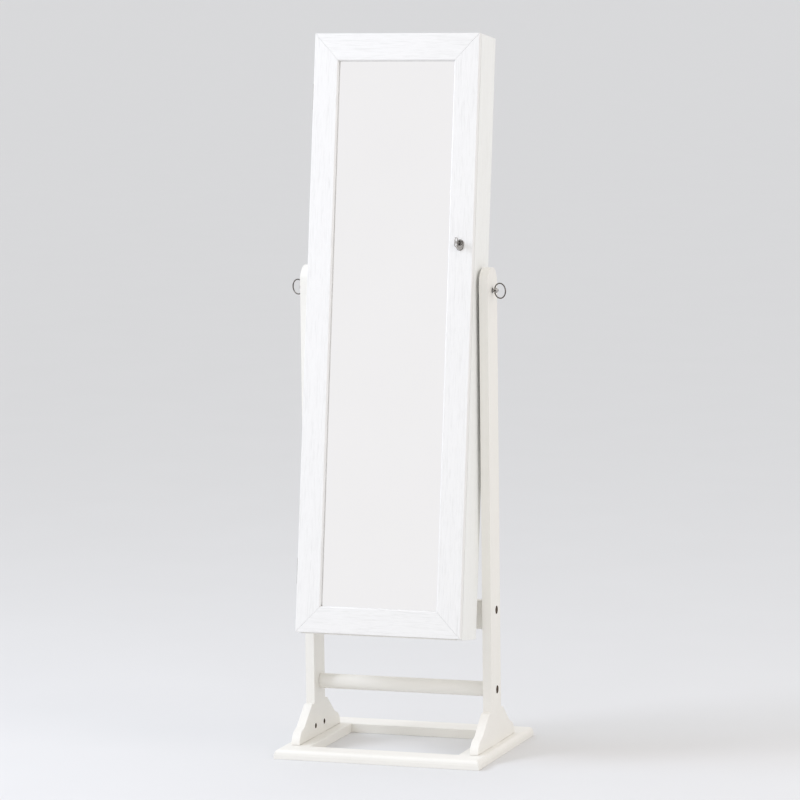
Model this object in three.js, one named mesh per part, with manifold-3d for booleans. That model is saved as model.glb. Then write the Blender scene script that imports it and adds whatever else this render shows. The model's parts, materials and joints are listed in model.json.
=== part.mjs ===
// A jewelry armoire: a slim mirrored wall-case hung between two posts on a rectangular base.
// The case tilts on two pivot bolts, its mirrored door swings on butt hinges and locks with a cam.
// Millimetres, +Z up, -Y to the front, origin at the middle of the footprint on the floor.
import * as THREE from 'three';
import { mergeVertices } from 'three/addons/utils/BufferGeometryUtils.js';
import Module from 'manifold-3d';

const wasm = await Module();
wasm.setup();

// ---------------------------------------------------------------- driving dimensions
const GAP = 0.3;                    // clearance between touching pieces

// base frame, flat boards with a moulded outer edge
const BASE_WIDTH = 454;
const BASE_DEPTH = 386;
const BASE_HEIGHT = 20;
const BASE_BAND = 10;               // height of the upright band under the moulding
const MOULDING_INSET = 9;
const FRONT_BOARD = 54;
const SIDE_BOARD = 62;
const BACK_BOARD = 72;

// posts and feet
const POST_Y = -10;                 // plane of the posts and of the pivots
const POST_INNER = 189;             // distance of a post's inner face from the middle
const POST_THICK = 19;
const POST_DEPTH = 64.5;
const POST_TOP = 1030.5;
const FOOT_TOP = 94;
const SHOULDER_Y = 47;              // foot outline, measured from the posts' plane
const KNEE_Y = 95;
const KNEE_Z = 53;
const TOE_Y = 128;

// cross rails between the posts
const RAIL_SET_BACK = 8;            // both rails lie this far behind the posts' plane
const LOWER_RAIL_Z = 135.8;
const LOWER_RAIL_HEIGHT = 32;
const LOWER_RAIL_DEPTH = 27;
const UPPER_RAIL_BOTTOM = 264.5;
const UPPER_RAIL_TOP = 326;
const UPPER_RAIL_DEPTH = 18;
const UPPER_BOLT_Z = 306;

// tilting case, in its own axes: origin on the pivot line, +y to its back, +z to its top
const PIVOT_Z = 982.5;
const TILT_DEG = 8;
const CASE_WIDTH = 364;
const CASE_TOP = 532;
const CASE_BOTTOM = -731;
const CASE_FRONT = -46;
const CASE_BACK = 48;
const PANEL = 12;
const BACK_PANEL = 5;
const BACK_INSET = 2;

// door
const DOOR_FRONT = -62;
const DOOR_BACK = -47;
const DOOR_BOTTOM = -728;
const STILE = 54;
const TOP_RAIL = 58;
const BOTTOM_RAIL = 56;
const REBATE = 8;                   // how far the mirror runs behind the frame
const MIRROR_SET_BACK = 9;
const MIRROR_THICK = 3;
const MITRE_GAP = 0.2;

// interior
const SHELF_THICK = 9;
const SHELF_FRONT = -36;
const SHELF_LIP = 24;
const SHELF_LIP_THICK = 6;
const SHELF_HEIGHTS = [-600, -480, -360];
const CUSHION = { height: 96, front: -24, edge: 8, clearance: 6 };
const EARRING_BOARD = { front: 8, thick: 4, low: -190, high: 68 };
const BATTEN = { half: 150, low: 462, height: 30, thick: 10 };
const PEG = { count: 9, spread: 132, radius: 2.4, length: 30, tipRadius: 4, tipHeight: 4, lean: 0.3 };

// hinges
const HINGE_HEIGHT = 54;
const HINGE_CENTRES = { upper: 400, lower: -600 };
const PIN_X = -185;
const PIN_Y = -46.5;
const PIN_RADIUS = 1.5;
const KNUCKLE_RADIUS = 2.9;
const LEAF_THICK = 1.2;
const LEAF_REACH = 13.5;
const LEAF_PROUD = 0.2;             // how far each leaf stands out of its mortise
const PIN_CAP = { radius: 2.4, height: 1.5 };

// lock, on the middle of the right stile
const LOCK_X = 154;
const LOCK_Z = 94;
const PLATE_DROP = 4;               // the oval plate is centred this far below the plug
const PLATE_WIDTH = 16;
const PLATE_HEIGHT = 23;
const PLATE_PROUD = 2.6;
const BARREL_RADIUS = 6.6;
const PLUG_RADIUS = 4.8;
const CAM_REACH = 21;
const CAM_THICK = 2;
const CAM_ROUND = 5.5;               // radius of the cam's round end
const CAM_TIP = 4;                  // half the width of its square end
const STRIKE_THICK = 1.5;
const STRIKE_MARGIN = 6;            // plate left round the strike's window
const KEY_THICK = 1.8;
const KEY_SLOT = { width: 2.4, height: 7, depth: 17 };
const BLADE_HALF = 2.6;             // half the height of the key's blade
const BOW = { gap: 12, depth: 22, half: 10.5, holeLift: 5.3, holeHalf: 3.5, holeReach: 8 };

// pivot hardware
const INSERT_RADIUS = 5;
const SPACER_RADIUS = 17;
const PIVOT_SHANK = 3;
const COLLAR_RADIUS = 5.6;
const BALL_RADIUS = 5.6;
const BALL_OFFSET = 7.4;            // ball centre beyond the post's outer face
const DIMPLE_ANGLE = 0.3;           // half angle of the dimple in the ball's outer end, radians
const RING_HOLE_OFFSET = 4.9;
const RING_RADIUS = 15.6;
const RING_WIRE = 1.3;
const RING_TURN_DEG = 26;
const RING_PLAY = 0.3;

// fasteners
const BOLT_HEAD_RADIUS = 6.4;
const BOLT_HEAD_HEIGHT = 3;
const HEX_RADIUS = 2.3;             // of the socket in a bolt's head
const HEX_DEPTH = 2.2;
const BOLT_SHANK_RADIUS = 3;
const COUNTERBORE_RADIUS = 7;
const COUNTERBORE_DEPTH = 4.5;
const BASE_COUNTERBORE_DEPTH = 6.5;
const RAIL_BOLT_LENGTH = 60;
const BARREL_NUT_RADIUS = 5;
const BARREL_NUT_Z = 43.5;
const BARREL_NUT_REACH = 16;        // depth of its blind hole from the post's inner face
const BARREL_NUT_RECESS = 3.5;      // how far the nut lies inside that face
const BOLT_PAST_NUT = 8;            // a base bolt ends this far above its nut's axis
const BASE_BOLT_SPREAD = 26.5;

// ---------------------------------------------------------------- materials
const finish = (color, roughness, metalness) =>
  new THREE.MeshStandardMaterial({ color, roughness, metalness });
const PAINT = () => finish(0xf3f1ec, 0.45, 0);
const GRAINED = () => finish(0xf6f6f4, 0.5, 0);
const BOARD = () => finish(0xefede8, 0.55, 0);
const FLOCK = () => finish(0x8b8580, 0.95, 0);
const STEEL = () => finish(0x8e8c88, 0.3, 1);
const BRONZE = () => finish(0x5b4334, 0.4, 1);
const SILVER = () => finish(0xdfe2e4, 0.04, 1);

// ---------------------------------------------------------------- solid helpers
function solid(geometry) {
  const bare = geometry.clone();
  bare.deleteAttribute('normal');
  bare.deleteAttribute('uv');
  const merged = mergeVertices(bare, 1e-4);
  return new wasm.Manifold(new wasm.Mesh({
    numProp: 3,
    vertProperties: new Float32Array(merged.attributes.position.array),
    triVerts: new Uint32Array(merged.index.array),
  }));
}

function geometryOf(body) {
  const mesh = body.getMesh();
  const geometry = new THREE.BufferGeometry();
  geometry.setAttribute('position', new THREE.BufferAttribute(mesh.vertProperties, 3));
  geometry.setIndex(new THREE.BufferAttribute(mesh.triVerts, 1));
  geometry.computeVertexNormals();
  return geometry;
}

function carve(geometry, ...tools) {
  return geometryOf(tools.reduce((body, tool) => body.subtract(solid(tool)), solid(geometry)));
}

function fuse(first, ...others) {
  return geometryOf(others.reduce((body, other) => body.add(solid(other)), solid(first)));
}

function common(first, second) {
  return geometryOf(solid(first).intersect(solid(second)));
}

function block(x0, x1, y0, y1, z0, z1) {
  const geometry = new THREE.BoxGeometry(x1 - x0, y1 - y0, z1 - z0);
  return geometry.translate((x0 + x1) / 2, (y0 + y1) / 2, (z0 + z1) / 2);
}

// turns a shape made along +Y so that it runs along the named axis
function alongAxis(geometry, axis) {
  if (axis === 'x') geometry.rotateZ(-Math.PI / 2);
  if (axis === 'z') geometry.rotateX(Math.PI / 2);
  return geometry;
}

// a round bar; centre holds its two other coordinates, in axis order
function rod(axis, radius, from, to, centre, sides = 24) {
  const bar = alongAxis(new THREE.CylinderGeometry(radius, radius, to - from, sides), axis);
  const middle = (from + to) / 2;
  const [a, b] = centre;
  if (axis === 'x') return bar.translate(middle, a, b);
  if (axis === 'y') return bar.translate(a, middle, b);
  return bar.translate(a, b, middle);
}

const shapeOf = (points) => new THREE.Shape(points.map(([u, v]) => new THREE.Vector2(u, v)));

// side outline (y, z) given a thickness along X
function sideSlab(shape, x0, x1, curveSegments = 16) {
  const slab = new THREE.ExtrudeGeometry(shape, { depth: x1 - x0, bevelEnabled: false, curveSegments });
  const turn = new THREE.Matrix4().makeBasis(
    new THREE.Vector3(0, 1, 0), new THREE.Vector3(0, 0, 1), new THREE.Vector3(1, 0, 0));
  return slab.applyMatrix4(turn).translate(x0, 0, 0);
}

// front outline (x, z) given a thickness along Y
function frontSlab(shape, y0, y1, curveSegments = 16) {
  const slab = new THREE.ExtrudeGeometry(shape, { depth: y1 - y0, bevelEnabled: false, curveSegments });
  const turn = new THREE.Matrix4().makeBasis(
    new THREE.Vector3(1, 0, 0), new THREE.Vector3(0, 0, 1), new THREE.Vector3(0, -1, 0));
  return slab.applyMatrix4(turn).translate(0, y1, 0);
}

// closed body through a stack of rings that all have the same number of corners
function stack(rings) {
  const count = rings[0].length;
  const positions = rings.flat(2);
  const index = [];
  for (let level = 0; level + 1 < rings.length; level += 1) {
    for (let corner = 0; corner < count; corner += 1) {
      const a = level * count + corner;
      const b = level * count + (corner + 1) % count;
      index.push(a, b, b + count, a, b + count, a + count);
    }
  }
  const top = (rings.length - 1) * count;
  for (let corner = 1; corner + 1 < count; corner += 1) {
    index.push(0, corner + 1, corner);
    index.push(top, top + corner, top + corner + 1);
  }
  const geometry = new THREE.BufferGeometry();
  geometry.setAttribute('position', new THREE.Float32BufferAttribute(positions, 3));
  geometry.setIndex(index);
  return geometry;
}

function add(group, name, geometry, material) {
  const mesh = new THREE.Mesh(geometry, material);
  mesh.name = name;
  group.add(mesh);
  return mesh;
}

const SIDES = [['left', -1], ['right', 1]];
const ENDS = [['front', -1], ['back', 1]];

const armoire = new THREE.Group();

// ---------------------------------------------------------------- base frame
const halfWidth = BASE_WIDTH / 2;
const halfDepth = BASE_DEPTH / 2;
const postMiddleX = POST_INNER + POST_THICK / 2;

function baseRing(inset, z) {
  const x = halfWidth - inset;
  const y = halfDepth - inset;
  return [[-x, -y, z], [x, -y, z], [x, y, z], [-x, y, z]];
}

function baseBoard() {
  const rings = [baseRing(0, 0), baseRing(0, BASE_BAND)];
  const steps = 6;
  for (let step = 1; step <= steps; step += 1) {
    const angle = (step / steps) * Math.PI / 2;
    const z = BASE_BAND + (BASE_HEIGHT - BASE_BAND) * Math.sin(angle);
    rings.push(baseRing(1 + (MOULDING_INSET - 1) * (1 - Math.cos(angle)), z));
  }
  return stack(rings);
}

// the four boards are split along lines from each outer corner to the nearest inner corner
function boardWedge(corners) {
  const shape = shapeOf(corners);
  const prism = new THREE.ExtrudeGeometry(shape, { depth: BASE_HEIGHT + 2, bevelEnabled: false });
  return prism.translate(0, 0, -1);
}

function addBase() {
  const board = baseBoard();
  const out = 0.5;
  const slit = GAP / 2;
  const inX = halfWidth - SIDE_BOARD;
  const inFront = -halfDepth + FRONT_BOARD;
  const inBack = halfDepth - BACK_BOARD;
  const X = halfWidth + out;
  const Y = halfDepth + out;
  const wedges = {
    base_board_front: [[-X + slit, -Y], [X - slit, -Y], [inX - slit, inFront], [-inX + slit, inFront]],
    base_board_back: [[-inX + slit, inBack], [inX - slit, inBack], [X - slit, Y], [-X + slit, Y]],
    base_board_left: [[-X, -Y + slit], [-inX, inFront + slit], [-inX, inBack - slit], [-X, Y - slit]],
    base_board_right: [[X, -Y + slit], [X, Y - slit], [inX, inBack - slit], [inX, inFront + slit]],
  };
  for (const [name, corners] of Object.entries(wedges)) {
    const side = Math.sign(corners[0][0] + corners[2][0]);
    let piece = common(board, boardWedge(corners));
    if (name.endsWith('left') || name.endsWith('right')) {
      for (const [, end] of ENDS) {
        const centre = [side * postMiddleX, POST_Y + end * BASE_BOLT_SPREAD];
        piece = carve(piece,
          rod('z', BOLT_SHANK_RADIUS + GAP, -1, BASE_HEIGHT + 1, centre, 16),
          rod('z', COUNTERBORE_RADIUS, -1, BASE_COUNTERBORE_DEPTH, centre, 16));
      }
    }
    add(armoire, name, piece, PAINT());
  }
}

// ---------------------------------------------------------------- posts, feet and rails
function postOutline() {
  const half = POST_DEPTH / 2;
  const shape = new THREE.Shape();
  shape.moveTo(POST_Y - half, BASE_HEIGHT + GAP);
  shape.lineTo(POST_Y + half, BASE_HEIGHT + GAP);
  shape.lineTo(POST_Y + half, POST_TOP - half);
  shape.absarc(POST_Y, POST_TOP - half, half, 0, Math.PI, false);
  shape.lineTo(POST_Y - half, BASE_HEIGHT + GAP);
  return shape;
}

// a foot bracket's outline, drawn for the back and mirrored for the front
function footOutline(end) {
  const at = (y, z) => [POST_Y + end * y, z];
  const root = POST_DEPTH / 2 + GAP;
  const low = BASE_HEIGHT + GAP;
  const shape = new THREE.Shape();
  shape.moveTo(...at(root, low));
  shape.lineTo(...at(root, FOOT_TOP));
  shape.lineTo(...at(SHOULDER_Y, FOOT_TOP - 1));
  shape.lineTo(...at(KNEE_Y - 4, KNEE_Z + 3));
  shape.quadraticCurveTo(...at(KNEE_Y, KNEE_Z - 1), ...at(KNEE_Y + 8, KNEE_Z - 2.5));
  shape.bezierCurveTo(...at(TOE_Y - 12, KNEE_Z - 6), ...at(TOE_Y - 1, KNEE_Z - 18), ...at(TOE_Y, low));
  shape.lineTo(...at(root, low));
  return shape;
}

const railY = POST_Y + RAIL_SET_BACK;
const postOuter = POST_INNER + POST_THICK;

function postSolid(side) {
  const inner = side * POST_INNER;
  const outer = side * postOuter;
  const span = (a, b) => [Math.min(a, b), Math.max(a, b)];
  const cuts = [rod('x', PIVOT_SHANK + GAP, ...span(inner - side, outer + side), [POST_Y, PIVOT_Z])];
  for (const z of [LOWER_RAIL_Z, UPPER_BOLT_Z]) {
    cuts.push(rod('x', BOLT_SHANK_RADIUS + GAP, ...span(inner - side, outer + side), [railY, z], 16));
    const seat = outer - side * COUNTERBORE_DEPTH;
    cuts.push(rod('x', COUNTERBORE_RADIUS, ...span(seat, outer + side), [railY, z]));
  }
  for (const [, end] of ENDS) {
    const y = POST_Y + end * BASE_BOLT_SPREAD;
    const reach = inner + side * BARREL_NUT_REACH;
    cuts.push(rod('x', BARREL_NUT_RADIUS + GAP, ...span(inner - side, reach), [y, BARREL_NUT_Z]));
    const top = BARREL_NUT_Z + BOLT_PAST_NUT + 4;
    cuts.push(rod('z', BOLT_SHANK_RADIUS + GAP, BASE_HEIGHT - 1, top, [side * postMiddleX, y], 16));
  }
  return carve(sideSlab(postOutline(), ...span(inner, outer), 24), ...cuts);
}

function addSideFrames() {
  for (const [sideName, side] of SIDES) {
    add(armoire, `post_${sideName}`, postSolid(side), PAINT());
    const x0 = Math.min(side * POST_INNER, side * postOuter);
    for (const [endName, end] of ENDS) {
      const wing = sideSlab(footOutline(end), x0, x0 + POST_THICK, 8);
      add(armoire, `foot_${endName}_${sideName}`, wing, PAINT());
    }
  }
}

function addCrossRails() {
  const end = POST_INNER - GAP;
  const boltEnd = postOuter - COUNTERBORE_DEPTH - RAIL_BOLT_LENGTH - 1;
  const bores = (z) => SIDES.map(([, side]) => (side > 0
    ? rod('x', BOLT_SHANK_RADIUS + GAP, boltEnd, end + 1, [railY, z], 16)
    : rod('x', BOLT_SHANK_RADIUS + GAP, -end - 1, -boltEnd, [railY, z], 16)));
  const oval = rod('x', 1, -end, end, [0, 0], 32);
  oval.scale(1, LOWER_RAIL_DEPTH / 2, LOWER_RAIL_HEIGHT / 2).translate(0, railY, LOWER_RAIL_Z);
  add(armoire, 'cross_rail_lower', carve(oval, ...bores(LOWER_RAIL_Z)), PAINT());
  const half = UPPER_RAIL_DEPTH / 2;
  const board = block(-end, end, railY - half, railY + half, UPPER_RAIL_BOTTOM, UPPER_RAIL_TOP);
  add(armoire, 'cross_rail_upper', carve(board, ...bores(UPPER_BOLT_Z)), PAINT());
}

// ---------------------------------------------------------------- fasteners of the stand
// a socket-head screw along +Y, with the top of its head at y = 0
function screw(length) {
  const head = BOLT_HEAD_RADIUS;
  const shank = BOLT_SHANK_RADIUS;
  const edge = 0.8;
  const point = 1;
  const profile = [
    [0, 0], [head - edge, 0], [head, -edge], [head, -BOLT_HEAD_HEIGHT],
    [shank, -BOLT_HEAD_HEIGHT], [shank, -length + point], [shank - point, -length], [0, -length],
  ].reverse().map(([r, y]) => new THREE.Vector2(r, y));
  const body = new THREE.LatheGeometry(profile, 16);
  const socket = new THREE.CylinderGeometry(HEX_RADIUS, HEX_RADIUS, 2 * HEX_DEPTH, 6);
  return carve(body, socket);
}

function addFasteners() {
  for (const [sideName, side] of SIDES) {
    for (const [rank, z] of [['lower', LOWER_RAIL_Z], ['upper', UPPER_BOLT_Z]]) {
      const bolt = screw(RAIL_BOLT_LENGTH).rotateZ(-side * Math.PI / 2);
      const head = side * (postOuter - COUNTERBORE_DEPTH + BOLT_HEAD_HEIGHT + GAP);
      add(armoire, `rail_bolt_${rank}_${sideName}`, bolt.translate(head, railY, z), BRONZE());
    }
    for (const [endName, end] of ENDS) {
      const y = POST_Y + end * BASE_BOLT_SPREAD;
      const x = side * postMiddleX;
      const headZ = BASE_COUNTERBORE_DEPTH - BOLT_HEAD_HEIGHT - GAP;
      const bolt = screw(BARREL_NUT_Z + BOLT_PAST_NUT - headZ);
      bolt.rotateX(-Math.PI / 2).translate(x, y, headZ);
      add(armoire, `base_bolt_${endName}_${sideName}`, bolt, STEEL());
      const inner = side * (POST_INNER + BARREL_NUT_RECESS);
      const outer = side * (POST_INNER + BARREL_NUT_REACH - GAP);
      const nut = rod('x', BARREL_NUT_RADIUS, Math.min(inner, outer), Math.max(inner, outer),
        [y, BARREL_NUT_Z], 20);
      const thread = rod('z', BOLT_SHANK_RADIUS + GAP, BARREL_NUT_Z - BOLT_PAST_NUT,
        BARREL_NUT_Z + BOLT_PAST_NUT, [x, y], 16);
      add(armoire, `barrel_nut_${endName}_${sideName}`, carve(nut, thread), BRONZE());
    }
  }
}

// ---------------------------------------------------------------- tilting case
const tilting = new THREE.Group();
tilting.position.set(0, POST_Y, PIVOT_Z);
tilting.rotation.x = -THREE.MathUtils.degToRad(TILT_DEG);
armoire.add(tilting);

const caseHalf = CASE_WIDTH / 2;
const innerHalf = caseHalf - PANEL;
const backFace = CASE_BACK - BACK_INSET - BACK_PANEL;       // front face of the back panel
const camY = DOOR_BACK + 7;                                 // front of the cam, behind the door

const STRIKE_WINDOW = { front: camY - 2, back: camY + 6, low: LOCK_Z - 10, high: LOCK_Z + 24 };

function hingeMortises(y0, y1) {
  const half = HINGE_HEIGHT / 2 + GAP;
  return Object.values(HINGE_CENTRES).map((z) =>
    block(-caseHalf - 1, PIN_X + LEAF_REACH + GAP, y0, y1, z - half, z + half));
}

function addCase() {
  const side = (sign) => block(
    Math.min(sign * caseHalf, sign * innerHalf), Math.max(sign * caseHalf, sign * innerHalf),
    CASE_FRONT, CASE_BACK, CASE_BOTTOM, CASE_TOP);
  const insertBore = (sign) => rod('x', INSERT_RADIUS + GAP,
    Math.min(sign * innerHalf - sign, sign * caseHalf + sign),
    Math.max(sign * innerHalf - sign, sign * caseHalf + sign), [0, 0]);
  const w = STRIKE_WINDOW;
  const camPocket = block(innerHalf - 1, innerHalf + 7, w.front, w.back, w.low, w.high);
  const leafSeats = hingeMortises(CASE_FRONT - 1, CASE_FRONT + LEAF_THICK - LEAF_PROUD + GAP);
  add(tilting, 'case_side_left', carve(side(-1), insertBore(-1), ...leafSeats), PAINT());
  add(tilting, 'case_side_right', carve(side(1), insertBore(1), camPocket), PAINT());
  const reach = innerHalf - GAP;
  add(tilting, 'case_top',
    block(-reach, reach, CASE_FRONT, CASE_BACK, CASE_TOP - PANEL, CASE_TOP), PAINT());
  add(tilting, 'case_bottom',
    block(-reach, reach, CASE_FRONT, CASE_BACK, CASE_BOTTOM, CASE_BOTTOM + PANEL), PAINT());
  const low = CASE_BOTTOM + PANEL + GAP;
  const high = CASE_TOP - PANEL - GAP;
  add(tilting, 'case_back', block(-reach, reach, backFace, backFace + BACK_PANEL, low, high), BOARD());
}

// ---------------------------------------------------------------- fittings inside the case
function addShelves() {
  const reach = innerHalf - GAP;
  SHELF_HEIGHTS.forEach((z, number) => {
    const profile = shapeOf([
      [SHELF_FRONT, z], [backFace - GAP, z], [backFace - GAP, z + SHELF_THICK],
      [SHELF_FRONT + SHELF_LIP_THICK, z + SHELF_THICK],
      [SHELF_FRONT + SHELF_LIP_THICK, z + SHELF_LIP], [SHELF_FRONT, z + SHELF_LIP],
    ]);
    add(tilting, `shelf_${number + 1}`, sideSlab(profile, -reach, reach), FLOCK());
  });
}

function addRingCushion() {
  const floor = SHELF_HEIGHTS[2] + SHELF_THICK + GAP;
  const top = floor + CUSHION.height;
  const reach = innerHalf - CUSHION.clearance;
  const back = backFace - GAP - 1;
  const edge = CUSHION.edge;
  const bend = CUSHION.front + edge;
  const shape = new THREE.Shape();
  shape.moveTo(bend, floor);
  shape.lineTo(back, floor);
  shape.lineTo(back, top);
  shape.lineTo(bend, top);
  shape.absarc(bend, top - edge, edge, Math.PI / 2, Math.PI, false);
  shape.absarc(bend, floor + edge, edge, Math.PI, 1.5 * Math.PI, false);
  add(tilting, 'ring_cushion', sideSlab(shape, -reach, reach, 4), FLOCK());
}

// an upright board, set forward of the back panel, that earrings are pinned through
function addEarringBoard() {
  const reach = innerHalf - GAP;
  const { front, thick, low, high } = EARRING_BOARD;
  add(tilting, 'earring_board', block(-reach, reach, front, front + thick, low, high), FLOCK());
}

// a batten across the top of the back with a row of turned pegs that slope up
function addNecklaceRail() {
  const { half, low, height, thick } = BATTEN;
  const { count, spread, radius, length, tipRadius, tipHeight, lean } = PEG;
  const face = backFace - GAP - thick;
  const batten = block(-half, half, face, face + thick, low, low + height);
  const pegs = [];
  for (let number = 0; number < count; number += 1) {
    const x = -spread + number * (2 * spread / (count - 1));
    const stem = new THREE.CylinderGeometry(radius, radius, length, 10).translate(0, length / 2, 0);
    const tip = new THREE.CylinderGeometry(tipRadius, tipRadius, tipHeight, 10).translate(0, length, 0);
    for (const part of [stem, tip]) {
      part.rotateX(Math.PI - lean).translate(x, face + thick * 0.4, low + height / 2);
      pegs.push(part);
    }
  }
  add(tilting, 'necklace_rail', fuse(batten, ...pegs), PAINT());
}

// ---------------------------------------------------------------- door
const openingLow = DOOR_BOTTOM + BOTTOM_RAIL;
const openingHigh = CASE_TOP - TOP_RAIL;
const openingHalf = caseHalf - STILE;

function addDoorFrame() {
  const mirrorFace = DOOR_FRONT + MIRROR_SET_BACK;
  const rebate = block(-openingHalf - REBATE, openingHalf + REBATE, mirrorFace - GAP, DOOR_BACK + 1,
    openingLow - REBATE, openingHigh + REBATE);
  const g = MITRE_GAP;
  const stile = (side) => frontSlab(shapeOf([
    [side * caseHalf, DOOR_BOTTOM + g], [side * caseHalf, CASE_TOP - g],
    [side * openingHalf, openingHigh - g], [side * openingHalf, openingLow + g],
  ]), DOOR_FRONT, DOOR_BACK);
  const rail = (outer, inner) => frontSlab(shapeOf([
    [-caseHalf + g, outer], [-openingHalf + g, inner], [openingHalf - g, inner], [caseHalf - g, outer],
  ]), DOOR_FRONT, DOOR_BACK);
  const leafSeats = hingeMortises(DOOR_BACK - LEAF_THICK + LEAF_PROUD - GAP, DOOR_BACK + 1);
  const lockBore = rod('y', BARREL_RADIUS + GAP, DOOR_FRONT - 1, DOOR_BACK + 1, [LOCK_X, LOCK_Z]);
  add(tilting, 'door_stile_left', carve(stile(-1), rebate, ...leafSeats), GRAINED());
  add(tilting, 'door_stile_right', carve(stile(1), rebate, lockBore), GRAINED());
  add(tilting, 'door_rail_top', carve(rail(CASE_TOP, openingHigh), rebate), GRAINED());
  add(tilting, 'door_rail_bottom', carve(rail(DOOR_BOTTOM, openingLow), rebate), GRAINED());
  const x = openingHalf + REBATE - GAP;
  const low = openingLow - REBATE + GAP;
  const high = openingHigh + REBATE - GAP;
  const glassBack = mirrorFace + MIRROR_THICK;
  add(tilting, 'mirror_glass', block(-x, x, mirrorFace, glassBack, low, high), SILVER());
  add(tilting, 'door_lining', block(-x, x, glassBack + GAP, DOOR_BACK, low, high), FLOCK());
}

// ---------------------------------------------------------------- butt hinges
// knuckles of one leaf; each is a tube on the pin's axis, joined to the leaf by a short neck
function hingeLeaf(z, y0, knuckles) {
  const half = HINGE_HEIGHT / 2;
  const plate = block(PIN_X + KNUCKLE_RADIUS - 0.4, PIN_X + LEAF_REACH, y0, y0 + LEAF_THICK,
    z - half, z + half);
  const barrels = knuckles.flatMap(([low, high]) => [
    rod('z', KNUCKLE_RADIUS, z + low, z + high, [PIN_X, PIN_Y], 20),
    block(PIN_X, PIN_X + KNUCKLE_RADIUS, y0, y0 + LEAF_THICK, z + low, z + high),
  ]);
  const bore = rod('z', PIN_RADIUS + 0.08, z - half - 1, z + half + 1, [PIN_X, PIN_Y], 20);
  return carve(fuse(plate, ...barrels), bore);
}

function addHinges() {
  const half = HINGE_HEIGHT / 2;
  const third = HINGE_HEIGHT / 6;
  for (const [rank, z] of Object.entries(HINGE_CENTRES)) {
    const caseSeat = CASE_FRONT - LEAF_PROUD;
    const doorSeat = DOOR_BACK - LEAF_THICK + LEAF_PROUD;
    add(tilting, `hinge_case_leaf_${rank}`,
      clearKnuckles(hingeLeaf(z, caseSeat, [[-half, -third], [third, half]]), z, [[-third, third]]),
      STEEL());
    add(tilting, `hinge_door_leaf_${rank}`,
      clearKnuckles(hingeLeaf(z, doorSeat, [[-third + GAP, third - GAP]]), z,
        [[-half, -third], [third, half]]), STEEL());
    const pin = rod('z', PIN_RADIUS, z - half - 0.5, z + half + 0.5, [PIN_X, PIN_Y], 20);
    const cap = (low) => rod('z', PIN_CAP.radius, low, low + PIN_CAP.height, [PIN_X, PIN_Y], 20);
    add(tilting, `hinge_pin_${rank}`,
      fuse(pin, cap(z + half + GAP), cap(z - half - GAP - PIN_CAP.height)), STEEL());
  }
}

// trims a leaf back where the other leaf's knuckles turn
function clearKnuckles(leaf, z, spans) {
  return carve(leaf, ...spans.map(([low, high]) =>
    rod('z', KNUCKLE_RADIUS + GAP, z + low - GAP / 2, z + high + GAP / 2, [PIN_X, PIN_Y], 20)));
}

// ---------------------------------------------------------------- lock and key
function stadium(width, height, x, z) {
  const r = width / 2;
  const straight = (height - width) / 2;
  const shape = new THREE.Shape();
  shape.moveTo(x + r, z - straight);
  shape.lineTo(x + r, z + straight);
  shape.absarc(x, z + straight, r, 0, Math.PI, false);
  shape.lineTo(x - r, z - straight);
  shape.absarc(x, z - straight, r, Math.PI, 2 * Math.PI, false);
  return shape;
}

const plugFront = DOOR_FRONT - PLATE_PROUD - 0.8;
const plugBack = camY - GAP;

function addLock() {
  const plate = frontSlab(stadium(PLATE_WIDTH, PLATE_HEIGHT, LOCK_X, LOCK_Z - PLATE_DROP),
    DOOR_FRONT - PLATE_PROUD, DOOR_FRONT - GAP, 10);
  const barrel = rod('y', BARREL_RADIUS, DOOR_FRONT - PLATE_PROUD, DOOR_BACK + 6, [LOCK_X, LOCK_Z]);
  const bore = rod('y', PLUG_RADIUS + 0.1, DOOR_FRONT - 9, DOOR_BACK + 9, [LOCK_X, LOCK_Z]);
  add(tilting, 'lock_housing', carve(fuse(plate, barrel), bore), STEEL());
  const s = KEY_SLOT;
  const slot = block(LOCK_X - s.width / 2, LOCK_X + s.width / 2, plugFront - 1, plugFront + s.depth,
    LOCK_Z - s.height / 2, LOCK_Z + s.height / 2);
  const plug = rod('y', PLUG_RADIUS, plugFront, plugBack, [LOCK_X, LOCK_Z]);
  add(tilting, 'lock_plug', carve(plug, slot), STEEL());
  addCam();
  addKey();
  addStrike();
}

// a flat tongue that points up when the door is free
function addCam() {
  const top = LOCK_Z + CAM_REACH;
  const corner = 1;
  const shape = new THREE.Shape();
  shape.absarc(LOCK_X, LOCK_Z, CAM_ROUND, Math.PI, 2 * Math.PI, false);
  shape.lineTo(LOCK_X + CAM_TIP, top - corner);
  shape.lineTo(LOCK_X + CAM_TIP - corner, top);
  shape.lineTo(LOCK_X - CAM_TIP + corner, top);
  shape.lineTo(LOCK_X - CAM_TIP, top - corner);
  add(tilting, 'lock_cam', frontSlab(shape, camY, camY + CAM_THICK, 8), STEEL());
}

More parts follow.
